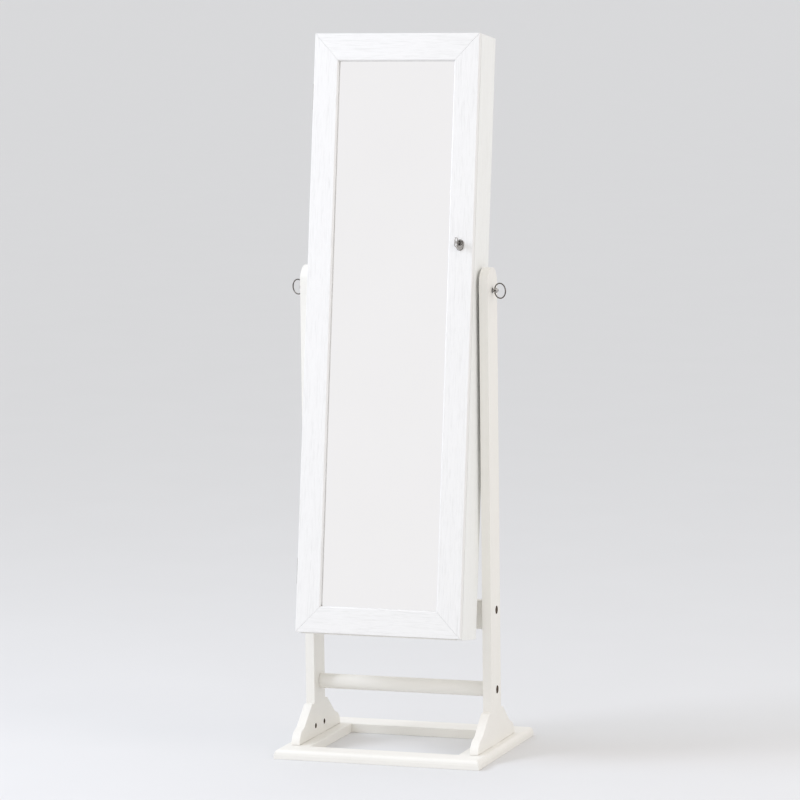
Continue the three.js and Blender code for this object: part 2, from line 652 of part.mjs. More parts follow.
// a flat key whose two-lobed bow stands upright in front of the lock
function addKey() {
  const bowBack = plugFront - BOW.gap;
  const bowFront = bowBack - BOW.depth;
  const middle = (bowFront + bowBack) / 2;
  const tip = plugFront + KEY_SLOT.depth - 2 * GAP;
  const at = (y, z) => [y, LOCK_Z + z];
  const bow = new THREE.Shape();
  bow.moveTo(...at(tip - 1.4, -BLADE_HALF));
  bow.lineTo(...at(tip, 0));
  bow.lineTo(...at(tip - 1.4, BLADE_HALF));
  bow.lineTo(...at(bowBack + 3, BLADE_HALF));
  bow.bezierCurveTo(...at(bowBack + 1, 8), ...at(bowBack - 2, BOW.half), ...at(middle + 1, BOW.half));
  bow.bezierCurveTo(...at(bowFront, BOW.half), ...at(bowFront - 0.5, 4), ...at(bowFront + 2, 0));
  bow.bezierCurveTo(...at(bowFront - 0.5, -4), ...at(bowFront, -BOW.half), ...at(middle + 1, -BOW.half));
  bow.bezierCurveTo(...at(bowBack - 2, -BOW.half), ...at(bowBack + 1, -8), ...at(bowBack + 3, -BLADE_HALF));
  for (const sign of [-1, 1]) {
    const hole = new THREE.Path();
    const [y, z] = at(middle, sign * BOW.holeLift);
    hole.absellipse(y, z, BOW.holeReach, BOW.holeHalf, 0, 2 * Math.PI, false, 0);
    bow.holes.push(hole);
  }
  const half = KEY_THICK / 2;
  add(tilting, 'key', sideSlab(bow, LOCK_X - half, LOCK_X + half, 8), STEEL());
}

function addStrike() {
  const w = STRIKE_WINDOW;
  const face = innerHalf - GAP;
  const plate = block(face - STRIKE_THICK, face, w.front - 1.8, w.back + STRIKE_MARGIN,
    w.low - STRIKE_MARGIN, w.high + STRIKE_MARGIN);
  const window = block(face - STRIKE_THICK - 1, face + 1, w.front, w.back, w.low, w.high);
  add(tilting, 'lock_strike', carve(plate, window), STEEL());
}

// ---------------------------------------------------------------- pivots
function addPivots() {
  for (const [sideName, side] of SIDES) {
    const span = (a, b) => [Math.min(side * a, side * b), Math.max(side * a, side * b)];
    const insert = carve(rod('x', INSERT_RADIUS, ...span(innerHalf, caseHalf), [0, 0]),
      rod('x', PIVOT_SHANK + GAP, ...span(innerHalf - 1, caseHalf + 1), [0, 0]));
    add(tilting, `pivot_insert_${sideName}`, insert, STEEL());
    const spacer = carve(rod('x', SPACER_RADIUS, ...span(caseHalf + GAP, POST_INNER - GAP), [0, 0], 32),
      rod('x', PIVOT_SHANK + GAP, ...span(caseHalf - 1, POST_INNER + 1), [0, 0]));
    add(tilting, `pivot_spacer_${sideName}`, spacer, BOARD());
    addPivotBolt(sideName, side);
  }
}

// an upright hole with wide mouths, so that the curved ring can swing round in it
function flaredHole() {
  const reach = BALL_RADIUS + 1;
  const profile = [new THREE.Vector2(0, -reach)];
  for (let z = -reach; z <= reach; z += reach / 4) {
    const sag = RING_RADIUS - Math.sqrt(RING_RADIUS ** 2 - z ** 2);
    profile.push(new THREE.Vector2(RING_WIRE + RING_PLAY + sag, z));
  }
  profile.push(new THREE.Vector2(0, reach));
  return new THREE.LatheGeometry(profile, 16).rotateX(Math.PI / 2);
}

// turned along +Y from the inner end to the ball, then drilled across for the ring
function addPivotBolt(sideName, side) {
  const collar = postOuter + GAP;
  const ball = postOuter + BALL_OFFSET;
  const neck = 3.6;
  const end = innerHalf + 0.5;
  const profile = [
    [0, end], [PIVOT_SHANK - 1, end], [PIVOT_SHANK, end + 1],
    [PIVOT_SHANK, collar], [COLLAR_RADIUS, collar], [COLLAR_RADIUS, collar + 1.2],
    [neck, collar + 1.6], [neck, ball - Math.sqrt(BALL_RADIUS ** 2 - neck ** 2)],
  ];
  const first = Math.asin(neck / BALL_RADIUS);
  const last = Math.PI - DIMPLE_ANGLE;
  const steps = 8;
  for (let step = 1; step <= steps; step += 1) {
    const angle = first + (last - first) * (step / steps);
    profile.push([BALL_RADIUS * Math.sin(angle), ball - BALL_RADIUS * Math.cos(angle)]);
  }
  const rim = ball + BALL_RADIUS * Math.cos(DIMPLE_ANGLE);
  profile.push([1.2, rim - 1.2], [0, rim - 1.5]);
  const turned = new THREE.LatheGeometry(profile.map(([r, y]) => new THREE.Vector2(r, y)), 24);
  turned.rotateZ(-side * Math.PI / 2);
  const holeX = side * (postOuter + RING_HOLE_OFFSET);
  const bolt = carve(turned, flaredHole().translate(holeX, 0, 0));
  bolt.rotateX(THREE.MathUtils.degToRad(TILT_DEG));
  add(tilting, `pivot_bolt_${sideName}`, bolt, STEEL());
  const ring = new THREE.TorusGeometry(RING_RADIUS, RING_WIRE, 8, 36).rotateX(Math.PI / 2);
  ring.translate(side * RING_RADIUS, 0, 0);
  ring.rotateZ(-THREE.MathUtils.degToRad(RING_TURN_DEG));
  ring.translate(holeX, 0, 0).rotateX(THREE.MathUtils.degToRad(TILT_DEG));
  add(tilting, `pull_ring_${sideName}`, ring, STEEL());
}

addBase();
addSideFrames();
addCrossRails();
addFasteners();
addCase();
addShelves();
addRingCushion();
addEarringBoard();
addNecklaceRail();
addDoorFrame();
addHinges();
addLock();
addPivots();

export default armoire;
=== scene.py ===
"""Looks for a tilting jewelry armoire: painted boards, embossed door frame, mirror, fittings and lining."""
import json
import math

import bmesh
import bpy
from mathutils import Matrix, Vector

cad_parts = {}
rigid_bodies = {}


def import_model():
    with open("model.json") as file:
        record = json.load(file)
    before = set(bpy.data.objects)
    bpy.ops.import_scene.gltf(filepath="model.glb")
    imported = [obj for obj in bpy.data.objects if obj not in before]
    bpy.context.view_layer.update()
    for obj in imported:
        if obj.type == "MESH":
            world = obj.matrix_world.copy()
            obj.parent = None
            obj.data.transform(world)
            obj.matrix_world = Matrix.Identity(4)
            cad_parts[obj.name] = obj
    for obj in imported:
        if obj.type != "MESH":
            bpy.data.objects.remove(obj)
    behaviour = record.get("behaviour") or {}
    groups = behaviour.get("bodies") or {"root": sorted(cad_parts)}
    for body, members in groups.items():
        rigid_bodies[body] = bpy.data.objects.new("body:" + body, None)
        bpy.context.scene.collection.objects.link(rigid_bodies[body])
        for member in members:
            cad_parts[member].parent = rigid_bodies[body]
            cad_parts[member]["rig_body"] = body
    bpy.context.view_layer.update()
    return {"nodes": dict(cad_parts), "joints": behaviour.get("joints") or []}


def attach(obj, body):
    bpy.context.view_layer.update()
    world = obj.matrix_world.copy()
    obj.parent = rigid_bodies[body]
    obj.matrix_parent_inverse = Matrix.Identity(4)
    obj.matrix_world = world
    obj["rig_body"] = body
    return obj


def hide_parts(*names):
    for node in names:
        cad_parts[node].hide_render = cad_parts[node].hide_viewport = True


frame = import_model()
MM = 0.001

# ---------------------------------------------------------------- driving values, millimetres and degrees
PAINT_EDGE = 1.1            # rounding of the painted boards' edges
DOOR_EDGE = 1.3             # and of the door frame's outer edge
REBATE = 8.0                # how far the mirror runs behind the door frame
BEVEL_WIDTH, BEVEL_DEPTH = 2.1, 3.2     # of the door frame's edge around the mirror
DOOR_SLIT = 0.45            # visible width of the door frame's mitre joints
SHADOW_GAP = 2.2            # step behind the door's outer edge, which shows as a fine dark joint
MITRE_SLIT = 0.12           # the same for the base boards' joints
BASE_BAND = 10.0            # upright band under the base moulding
BASE_INSET = 9.0            # width of the moulding
RING_RADIUS = 15.6
RING_WIRE = 1.3
RING_TURN = 26.0            # turn of the pull rings about the vertical, in degrees
BALL_RADIUS = 5.6
DIMPLE_ANGLE = 0.36         # half the angle that the ball's dimple takes up, in radians
BALL_OFFSET = 7.4           # ball centre beyond the post's outer face
RING_HOLE_OFFSET = 4.9
COLLAR_RADIUS = 5.6
SHANK_RADIUS = 3.0
BOLT_HOLE = SHANK_RADIUS + 0.3
BROKEN_RIM = 0.35           # depth of the broken edge around a drilled hole

SIDES = (("left", -1), ("right", 1))
OUTWARD, INWARD = {-1: "-x", 1: "x"}, {-1: "x", 1: "-x"}        # axis names for each side
ENDS = (("front", -1), ("back", 1))
JOINTS = {joint["name"]: joint for joint in frame["joints"]}
PIVOT = Vector(JOINTS["case_tilt"]["pos_m"])
CASE_DEPTH_AXIS = Vector(JOINTS["lock_turn"]["axis"])
TILT = math.atan2(CASE_DEPTH_AXIS.z, CASE_DEPTH_AXIS.y)
# the case's own axes: origin on the pivot line, +y to its back, +z to its top
CASE_AXES = Matrix.Translation((0, PIVOT.y, PIVOT.z)) @ Matrix.Rotation(TILT, 4, "X")
WORLD_AXES = Matrix.Identity(4)


def own_box(node, axes=WORLD_AXES):
    """Lowest and highest corner of a CAD node, in millimetres, along the given axes."""
    back = axes.inverted()
    points = [back @ v.co for v in frame["nodes"][node].data.vertices]
    low = Vector([min(p[i] for p in points) for i in range(3)])
    high = Vector([max(p[i] for p in points) for i in range(3)])
    return low / MM, high / MM


def middle_of(node, axes=WORLD_AXES):
    low, high = own_box(node, axes)
    return (low + high) / 2


# ---------------------------------------------------------------- materials
class Paint:
    """A Principled material with node helpers. Uniform values go straight on the shader's sockets."""

    def __init__(self, name, **sockets):
        self.material = bpy.data.materials.new(name)
        self.material.use_nodes = True
        self.nodes = self.material.node_tree.nodes
        self.links = self.material.node_tree.links
        self.shader = self.nodes["Principled BSDF"]
        for socket, value in sockets.items():
            self.shader.inputs[socket.replace("_", " ")].default_value = value
        self.coordinates = self.nodes.new("ShaderNodeTexCoord").outputs["Object"]

    def link(self, source, node, socket):
        self.links.new(source, node.inputs[socket])

    def stretched(self, scale):
        mapping = self.nodes.new("ShaderNodeMapping")
        mapping.inputs["Scale"].default_value = scale
        self.link(self.coordinates, mapping, "Vector")
        return mapping.outputs["Vector"]

    def noise(self, scale, detail=3.0, roughness=0.55, vector=None, distortion=0.0):
        node = self.nodes.new("ShaderNodeTexNoise")
        node.inputs["Scale"].default_value = scale
        node.inputs["Detail"].default_value = detail
        node.inputs["Roughness"].default_value = roughness
        node.inputs["Distortion"].default_value = distortion
        self.link(vector or self.coordinates, node, "Vector")
        return node.outputs["Fac"]

    def span(self, source, low, high, start=0.3, end=0.7):
        node = self.nodes.new("ShaderNodeMapRange")
        for socket, value in zip(("From Min", "From Max", "To Min", "To Max"), (start, end, low, high)):
            node.inputs[socket].default_value = value
        self.link(source, node, "Value")
        return node.outputs["Result"]

    def math(self, operation, first, second):
        node = self.nodes.new("ShaderNodeMath")
        node.operation = operation
        for index, value in enumerate((first, second)):
            if isinstance(value, (int, float)):
                node.inputs[index].default_value = value
            else:
                self.links.new(value, node.inputs[index])
        return node.outputs[0]

    def blend(self, factor, first, second):
        node = self.nodes.new("ShaderNodeMix")
        node.data_type = "RGBA"
        node.inputs["A"].default_value = (*first, 1)
        node.inputs["B"].default_value = (*second, 1)
        self.link(factor, node, "Factor")
        return node.outputs["Result"]

    def bump(self, height, strength, distance, under=None):
        node = self.nodes.new("ShaderNodeBump")
        node.inputs["Strength"].default_value = strength
        node.inputs["Distance"].default_value = distance * MM
        self.link(height, node, "Height")
        if under is not None:
            self.link(under, node, "Normal")
        return node.outputs["Normal"]

    def wear(self, colour, roughness, normal=None):
        self.link(colour, self.shader, "Base Color")
        self.link(roughness, self.shader, "Roughness")
        if normal is not None:
            self.link(normal, self.shader, "Normal")
        return self.material


def white_paint():
    """Satin lacquer on board: a warm white with a faint orange peel and a slightly uneven sheen."""
    p = Paint("white_paint", Specular_IOR_Level=0.45, Coat_Weight=0.12, Coat_Roughness=0.25)
    tone = p.noise(7, 4)
    peel = p.noise(420, 2)
    drag = p.noise(1, 3, vector=p.stretched((240, 240, 12)))
    colour = p.blend(p.span(tone, 0, 1), (0.85, 0.832, 0.779), (0.875, 0.857, 0.804))
    lacquer = p.bump(peel, 0.12, 0.12, p.bump(drag, 0.08, 0.15))
    return p.wear(colour, p.span(p.noise(60, 3), 0.34, 0.46), lacquer)


def grained_paint(name, along, light, dark):
    """White foil embossed with fine wood grain along the given axis: short broken pores and soft bands."""
    p = Paint(name, Specular_IOR_Level=0.4)

    def drawn_out(across_scale, along_scale):
        return p.stretched([along_scale if axis == along else across_scale for axis in "xyz"])

    fine = p.noise(1, 3, 0.6, drawn_out(950, 40))
    pores = p.noise(1, 3, 0.6, drawn_out(430, 24))
    bands = p.span(p.noise(1, 3, 0.6, drawn_out(110, 9), 0.3), 0, 1, 0.38, 0.62)
    hairlines = p.math("MULTIPLY", p.span(fine, 0, 1, 0.5, 0.64), 0.45)
    lines = p.math("ADD", hairlines, p.span(pores, 0, 0.55, 0.52, 0.64))
    streak = p.math("MULTIPLY", lines, p.math("ADD", p.math("MULTIPLY", bands, 0.5), 0.5))
    shade = p.math("ADD", p.math("MULTIPLY", streak, 0.75), p.math("MULTIPLY", bands, 0.06))
    grooves = p.bump(p.math("MULTIPLY", streak, -1), 0.6, 0.3, p.bump(bands, 0.1, 0.2))
    return p.wear(p.blend(shade, light, dark), p.span(pores, 0.38, 0.55), grooves)


def back_board():
    p = Paint("back_board", Specular_IOR_Level=0.3)
    fibre = p.noise(160, 5, 0.7)
    colour = p.blend(p.span(fibre, 0, 1), (0.80, 0.79, 0.76), (0.87, 0.865, 0.84))
    return p.wear(colour, p.span(p.noise(40), 0.5, 0.62), p.bump(fibre, 0.2, 0.15))


def flocked_board():
    """Short grey flock glued to board: matt, with a soft nap that lies in patches."""
    p = Paint("flocked_board", Specular_IOR_Level=0.15, Sheen_Weight=0.6, Sheen_Roughness=0.4,
              Sheen_Tint=(0.8, 0.78, 0.76, 1))
    nap = p.noise(26, 3)
    pile = p.noise(1500, 2)
    tone = p.math("ADD", p.math("MULTIPLY", nap, 0.35), p.math("MULTIPLY", pile, 0.65))
    colour = p.blend(p.span(tone, 0, 1, 0.36, 0.64), (0.21, 0.20, 0.195), (0.29, 0.28, 0.27))
    return p.wear(colour, p.span(nap, 0.88, 0.98), p.bump(pile, 0.5, 0.35))


def velvet_cushion():
    """Deep grey velvet with a crushed pile."""
    p = Paint("velvet_cushion", Specular_IOR_Level=0.1, Sheen_Weight=0.9, Sheen_Roughness=0.3,
              Sheen_Tint=(0.85, 0.83, 0.82, 1))
    crush = p.noise(90, 4, 0.6, distortion=1.2)
    pile = p.noise(1800, 2)
    colour = p.blend(p.span(crush, 0, 1), (0.13, 0.125, 0.125), (0.23, 0.22, 0.215))
    return p.wear(colour, p.span(crush, 0.8, 0.95), p.bump(pile, 0.45, 0.3, p.bump(crush, 0.25, 0.8)))


def mirror():
    """Silvered glass with a barely uneven polish."""
    p = Paint("mirror", Metallic=1.0, Specular_IOR_Level=0.5)
    haze = p.noise(5, 4)
    colour = p.blend(p.span(haze, 0, 1), (0.98, 0.98, 0.98), (0.992, 0.992, 0.992))
    return p.wear(colour, p.span(p.noise(22, 5), 0.012, 0.028), p.bump(p.noise(3, 1), 0.02, 0.05))


def metal(name, dark, light, rough):
    """A plated or bare metal: fine lines from turning and polishing, and patches of duller tone."""
    p = Paint(name, Metallic=1.0)
    lines = p.noise(1, 4, 0.6, p.stretched((2600, 300, 300)))
    patch = p.noise(120, 4)
    tone = p.math("ADD", p.math("MULTIPLY", lines, 0.4), p.math("MULTIPLY", patch, 0.6))
    colour = p.blend(p.span(tone, 0, 1, 0.4, 0.6), dark, light)
    return p.wear(colour, p.span(patch, *rough), p.bump(lines, 0.12, 0.02))


def moulded_nylon():
    p = Paint("nylon", Specular_IOR_Level=0.45, Subsurface_Weight=0.08, Subsurface_Radius=(0.002,) * 3)
    grain = p.noise(900, 3)
    colour = p.blend(p.span(p.noise(60), 0, 1), (0.78, 0.77, 0.73), (0.84, 0.83, 0.80))
    return p.wear(colour, p.span(grain, 0.42, 0.52), p.bump(grain, 0.2, 0.03))


def shaded_raw_board():
    """Bare fibreboard inside a drilled hole, darkened well below bare board so that it also paints the hole's
    shade.
    """
    p = Paint("shaded_raw_board", Specular_IOR_Level=0.2)
    fibre = p.noise(900, 4, 0.7)
    colour = p.blend(p.span(fibre, 0, 1), (0.075, 0.056, 0.038), (0.17, 0.13, 0.09))
    return p.wear(colour, p.span(fibre, 0.8, 0.95), p.bump(fibre, 0.5, 0.2))


DOOR_TONES = (0.858, 0.852, 0.832), (0.735, 0.728, 0.705)
CASE_TONES = (0.886, 0.892, 0.868), (0.803, 0.808, 0.782)
FINISH = {
    "white_paint": white_paint(),
    "grain_upright": grained_paint("grained_paint_upright", "z", *DOOR_TONES),
    "grain_level": grained_paint("grained_paint_level", "x", *DOOR_TONES),
    "grain_case": grained_paint("grained_paint_case", "z", *CASE_TONES),
    "back_board": back_board(),
    "flocked_board": flocked_board(),
    "velvet_cushion": velvet_cushion(),
    "mirror": mirror(),
    "nickel_steel": metal("nickel_steel", (0.38, 0.365, 0.345), (0.6, 0.58, 0.555), (0.13, 0.27)),
    "pivot_steel": metal("pivot_steel", (0.075, 0.066, 0.058), (0.19, 0.172, 0.155), (0.24, 0.4)),
    # near-black metal that paints shade into recesses and a dark shaded line along rims
    "painted_shade_steel": metal("painted_shade_steel", (0.02, 0.018, 0.016), (0.06, 0.055, 0.05), (0.4, 0.55)),
    "bronze_steel": metal("bronze_steel", (0.06, 0.036, 0.022), (0.15, 0.092, 0.06), (0.3, 0.48)),
    "brass_insert": metal("brass_insert", (0.56, 0.42, 0.2), (0.72, 0.56, 0.3), (0.24, 0.4)),
    "nylon": moulded_nylon(),
    "shaded_raw_board": shaded_raw_board(),
}


# ---------------------------------------------------------------- mesh helpers
def as_object(name, bm, finish, axes):
    """Turns a bmesh in millimetres, along the given axes, into an object."""
    bmesh.ops.scale(bm, vec=(MM,) * 3, verts=bm.verts)
    bmesh.ops.recalc_face_normals(bm, faces=bm.faces)
    mesh = bpy.data.meshes.new(name)
    bm.to_mesh(mesh)
    bm.free()
    if finish:
        mesh.materials.append(FINISH[finish])
    made = bpy.data.objects.new(name, mesh)
    bpy.context.scene.collection.objects.link(made)
    made.matrix_world = axes
    return made


def finished(name, bm, finish, body, axes=WORLD_AXES):
    """A smooth-shaded piece that rides on a CAD body."""
    piece = as_object(name, bm, finish, axes)
    piece.data.polygons.foreach_set("use_smooth", [True] * len(piece.data.polygons))
    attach(piece, body)
    return piece


def stand_in(node, bm, finish, axes=WORLD_AXES):
    """A piece that stands for a CAD node and rides on that node's body."""
    piece = finished(f"{node}.finished", bm, finish, frame["nodes"][node]["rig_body"], axes)
    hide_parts(node)
    return piece


def bake(piece):
    """Applies every modifier."""
    depsgraph = bpy.context.evaluated_depsgraph_get()
    depsgraph.update()
    baked = bpy.data.meshes.new_from_object(piece.evaluated_get(depsgraph))
    piece.modifiers.clear()
    piece.data = baked


def settle(piece, sharp=38):
    """Keeps flat faces flat and edges of more than sharp degrees hard, and applies the modifiers."""
    weighted = piece.modifiers.new("weighted", "WEIGHTED_NORMAL")
    weighted.keep_sharp = True
    piece.data.set_sharp_from_angle(angle=math.radians(sharp))
    bake(piece)
    return piece


def soften_edges(bm, width, segments=3, keep=None):
    """Rounds the sharp edges, apart from those that keep() names."""
    least_turn = math.radians(28)
    sharp = [e for e in bm.edges if len(e.link_faces) == 2
             and e.calc_face_angle(0) > least_turn and not (keep and keep(e))]
    bmesh.ops.bevel(bm, geom=sharp, offset=width, offset_type="OFFSET", segments=segments,
                    profile=0.5, affect="EDGES", clamp_overlap=False, miter_outer="ARC")


def bmesh_of(node, axes=WORLD_AXES):
    """A CAD node's solid as a clean bmesh, in millimetres, along the given axes."""
    bm = bmesh.new()
    bm.from_mesh(frame["nodes"][node].data)
    bmesh.ops.transform(bm, matrix=Matrix.Scale(1 / MM, 4) @ axes.inverted(), verts=bm.verts)
    bmesh.ops.remove_doubles(bm, verts=bm.verts, dist=0.004)
    bmesh.ops.dissolve_limit(bm, angle_limit=math.radians(0.6), verts=bm.verts, edges=bm.edges)
    return bm


def refined(node, finish, width, segments=3):
    """The own shape of a CAD node on the case, with rounded edges."""
    bm = bmesh_of(node, CASE_AXES)
    soften_edges(bm, width, segments)
    settle(stand_in(node, bm, finish, CASE_AXES))


def softened_box(node, finish, width, segments, axes=CASE_AXES):
    """A box in a CAD node's place, with rounded edges."""
    bm = boxed(*own_box(node, axes))
    soften_edges(bm, width, segments)
    settle(stand_in(node, bm, finish, axes))


def paint_shade(piece, chosen):
    """Paints shade onto the faces of a metal piece that chosen() picks: near-black in recesses and as a dark
    line along rims.
    """
    piece.data.materials.append(FINISH["painted_shade_steel"])
    index = len(piece.data.materials) - 1
    for face in piece.data.polygons:
        if chosen(face):
            face.material_index = index


def carve(piece, bm, axes=WORLD_AXES, finish=None):
    """Cuts the shape of a bmesh in millimetres out of a piece; the cut's faces take the tool's finish."""
    tool = as_object("tool", bm, finish, axes)
    cut = piece.modifiers.new("cut", "BOOLEAN")
    cut.operation = "DIFFERENCE"
    cut.solver = "EXACT"
    cut.material_mode = "TRANSFER"
    cut.object = tool
    bake(piece)
    bpy.data.objects.remove(tool)


def boxed(low, high):
    bm = bmesh.new()
    bmesh.ops.create_cube(bm, size=1)
    bmesh.ops.scale(bm, vec=Vector(high) - Vector(low), verts=bm.verts)
    bmesh.ops.translate(bm, vec=(Vector(high) + Vector(low)) / 2, verts=bm.verts)
    return bm


AXIS_TURN = {
    "z": Matrix.Identity(4),
    "x": Matrix.Rotation(math.radians(90), 4, "Y"),
    "-x": Matrix.Rotation(math.radians(-90), 4, "Y"),
    "y": Matrix.Rotation(math.radians(-90), 4, "X"),
    "-y": Matrix.Rotation(math.radians(90), 4, "X"),
}


def turned(profile, axis, at, sides):
    """A turned body. Its profile has (radius, distance along the axis) points and is closed on the axis."""
    bm = bmesh.new()
    on_axis = 1e-6
    rings = []
    for radius, along in profile:
        if radius < on_axis:
            rings.append([bm.verts.new((0, 0, along))])
            continue
        angles = [2 * math.pi * i / sides for i in range(sides)]
        rings.append([bm.verts.new((radius * math.cos(a), radius * math.sin(a), along)) for a in angles])
    for lower, upper in zip(rings, rings[1:]):
        for i in range(sides):
            j = (i + 1) % sides
            if len(lower) == 1:
                bm.faces.new((lower[0], upper[j], upper[i]))
            elif len(upper) == 1:
                bm.faces.new((lower[i], lower[j], upper[0]))
            else:
                bm.faces.new((lower[i], lower[j], upper[j], upper[i]))
    bmesh.ops.transform(bm, matrix=Matrix.Translation(at) @ AXIS_TURN[axis], verts=bm.verts)
    return bm


def bore(*steps):
    """Section of a stepped hole, for turned(): each step is (radius, start, end)."""
    points = [(0, steps[0][1])]
    for radius, start, end in steps:
        points += [(radius, start), (radius, end)]
    return [*points, (0, steps[-1][2])]


def tube_profile(outer, inner, low, high, edge):
    """A closed ring section for a bush or washer, as (radius, along) points."""
    return [(inner, low + edge), (inner + edge, low), (outer - edge, low), (outer, low + edge),
            (outer, high - edge), (outer - edge, high), (inner + edge, high), (inner, high - edge)]


def revolved_ring(section, axis, sides):
    """A body of revolution around the origin, whose closed section stays clear of the axis."""
    bm = bmesh.new()
    rings = []
    for i in range(sides):
        a = 2 * math.pi * i / sides
        rings.append([bm.verts.new((r * math.cos(a), r * math.sin(a), h)) for r, h in section])
    count = len(section)
    for i in range(sides):
        here, there = rings[i], rings[(i + 1) % sides]
        for k in range(count):
            n = (k + 1) % count
            bm.faces.new((here[k], there[k], there[n], here[n]))
    bmesh.ops.transform(bm, matrix=AXIS_TURN[axis], verts=bm.verts)
    return bm


def arc(centre, radius, start, end, steps):
    """Points on an arc, angles in degrees."""
    angles = [math.radians(start + (end - start) * i / steps) for i in range(steps + 1)]
    return [(centre[0] + radius * math.cos(a), centre[1] + radius * math.sin(a)) for a in angles]


def angles_between(start, end, step):
    """Angles in radians, from whole degrees."""
    return [math.radians(a) for a in range(start, end + 1, step)]


def skinned(bm, rings):
    """Joins rings of points, one after another, into a bar with closed ends."""
    for here, there in zip(rings, rings[1:]):
        for k in range(len(here)):
            n = (k + 1) % len(here)
            bm.faces.new((here[k], here[n], there[n], there[k]))
    bm.faces.new(rings[0])
    bm.faces.new(rings[-1])


def mitred_bar(profile, low_end, high_end, place):
    """A bar with a closed profile of (u, v) points. Its ends are cut where low_end(u) and high_end(u) say."""
    bm = bmesh.new()
    skinned(bm, [[bm.verts.new(place(end(u), u, v)) for u, v in profile] for end in (low_end, high_end)])
    return bm


# ---------------------------------------------------------------- camera, floor and light
CAMERA_TURN = (19.05, 6.54, -0.70)              # yaw, pitch and roll, in degrees
CAMERA_PLACE = (2.7526, -7.9783, 1.7132)
CAMERA_LENS = 180.93


def add_camera():
    """A view from the front right, a little above, with a long lens."""
    yaw, pitch, roll = (math.radians(a) for a in CAMERA_TURN)
    ahead = Vector((-math.sin(yaw) * math.cos(pitch), math.cos(yaw) * math.cos(pitch), -math.sin(pitch)))
    level = Vector((math.cos(yaw), math.sin(yaw), 0))
    upright = level.cross(ahead)
    right = math.cos(roll) * level + math.sin(roll) * upright
    up = -math.sin(roll) * level + math.cos(roll) * upright
    camera = bpy.data.cameras.new("camera")
    camera.lens = CAMERA_LENS
    camera.sensor_width = 36
    camera.clip_start, camera.clip_end = 0.1, 600
    holder = bpy.data.objects.new("camera", camera)
    bpy.context.scene.collection.objects.link(holder)
    turn = Matrix((right, up, -ahead)).transposed().to_4x4()
    holder.matrix_world = Matrix.Translation(CAMERA_PLACE) @ turn
    bpy.context.scene.camera = holder


def floor_finish():
    p = Paint("studio_floor", Specular_IOR_Level=0.2)
    mottle = p.noise(3, 4)
    colour = p.blend(p.span(mottle, 0, 1), (0.724, 0.725, 0.724), (0.734, 0.735, 0.734))
    return p.wear(colour, p.span(mottle, 0.7, 0.8))


def add_floor():
    bm = bmesh.new()
    reach = 250.0
    bmesh.ops.create_circle(bm, cap_ends=True, radius=reach, segments=96)
    mesh = bpy.data.meshes.new("floor")
    bm.to_mesh(mesh)
    bm.free()
    mesh.materials.append(floor_finish())
    floor = bpy.data.objects.new("floor", mesh)
    bpy.context.scene.collection.objects.link(floor)


AIM_HEIGHT = 0.75


def hang_light(light, colour, location, towards):
    light.color = colour
    holder = bpy.data.objects.new(light.name, light)
    bpy.context.scene.collection.objects.link(holder)
    holder.location = location
    holder.rotation_mode = "QUATERNION"
    holder.rotation_quaternion = towards.to_track_quat("-Z", "Y")


def softbox(name, azimuth, distance, height, size, power, colour):
    """A square area light aimed at the middle of the object. Azimuth is degrees to the left of its front."""
    light = bpy.data.lights.new(name, "AREA")
    light.shape = "SQUARE"
    light.size = size
    light.energy = power
    a = math.radians(azimuth)
    location = Vector((-distance * math.sin(a), -distance * math.cos(a), height))
    hang_light(light, colour, location, Vector((0, 0, AIM_HEIGHT)) - location)


def far_light(name, azimuth, elevation, spread, power, colour):
    """A large light so far off that it lights the whole floor alike; spread is its angular size in degrees."""
    light = bpy.data.lights.new(name, "SUN")
    light.energy = power
    light.angle = math.radians(spread)
    a, e = math.radians(azimuth), math.radians(elevation)
    source = Vector((-math.sin(a) * math.cos(e), -math.cos(a) * math.cos(e), math.sin(e)))
    hang_light(light, colour, source * 10, -source)


WORLD_BACK = (0.85, 0.835, 0.831)               # the studio's walls behind the object
WORLD_FRONT = (0.885, 0.875, 0.881)             # and in front of it, where the mirror looks
WORLD_AXIS = Vector((-0.33, -0.90, 0.28)).normalized()      # points to the second


def add_light():
    softbox("key_low", 55, 3.0, 1.65, 0.45, 6.7, (0.96, 0.96, 1.0))
    softbox("key_high", 55, 3.0, 2.6, 1.0, 38.2, (0.8, 0.85, 1.0))
    softbox("fill", -75, 3.2, 2.2, 1.6, 20.5, (1.0, 0.93, 0.89))
    far_light("window", 75, 40, 20, 0.43, (0.65, 0.815, 1.0))
    world = bpy.data.worlds.new("studio")
    bpy.context.scene.world = world
    world.use_nodes = True
    nodes, links = world.node_tree.nodes, world.node_tree.links
    front = nodes.new("ShaderNodeVectorMath")
    front.operation = "DOT_PRODUCT"
    front.inputs[1].default_value = WORLD_AXIS
    links.new(nodes.new("ShaderNodeTexCoord").outputs["Generated"], front.inputs[0])
    spread = nodes.new("ShaderNodeMapRange")
    spread.interpolation_type = "SMOOTHSTEP"
    spread.inputs["From Min"].default_value = -1
    links.new(front.outputs["Value"], spread.inputs["Value"])
    walls = nodes.new("ShaderNodeMix")
    walls.data_type = "RGBA"
    walls.inputs["A"].default_value = (*WORLD_BACK, 1)
    walls.inputs["B"].default_value = (*WORLD_FRONT, 1)
    links.new(spread.outputs["Result"], walls.inputs["Factor"])
    links.new(walls.outputs["Result"], nodes["Background"].inputs["Color"])
    bpy.context.scene.view_settings.view_transform = "Standard"


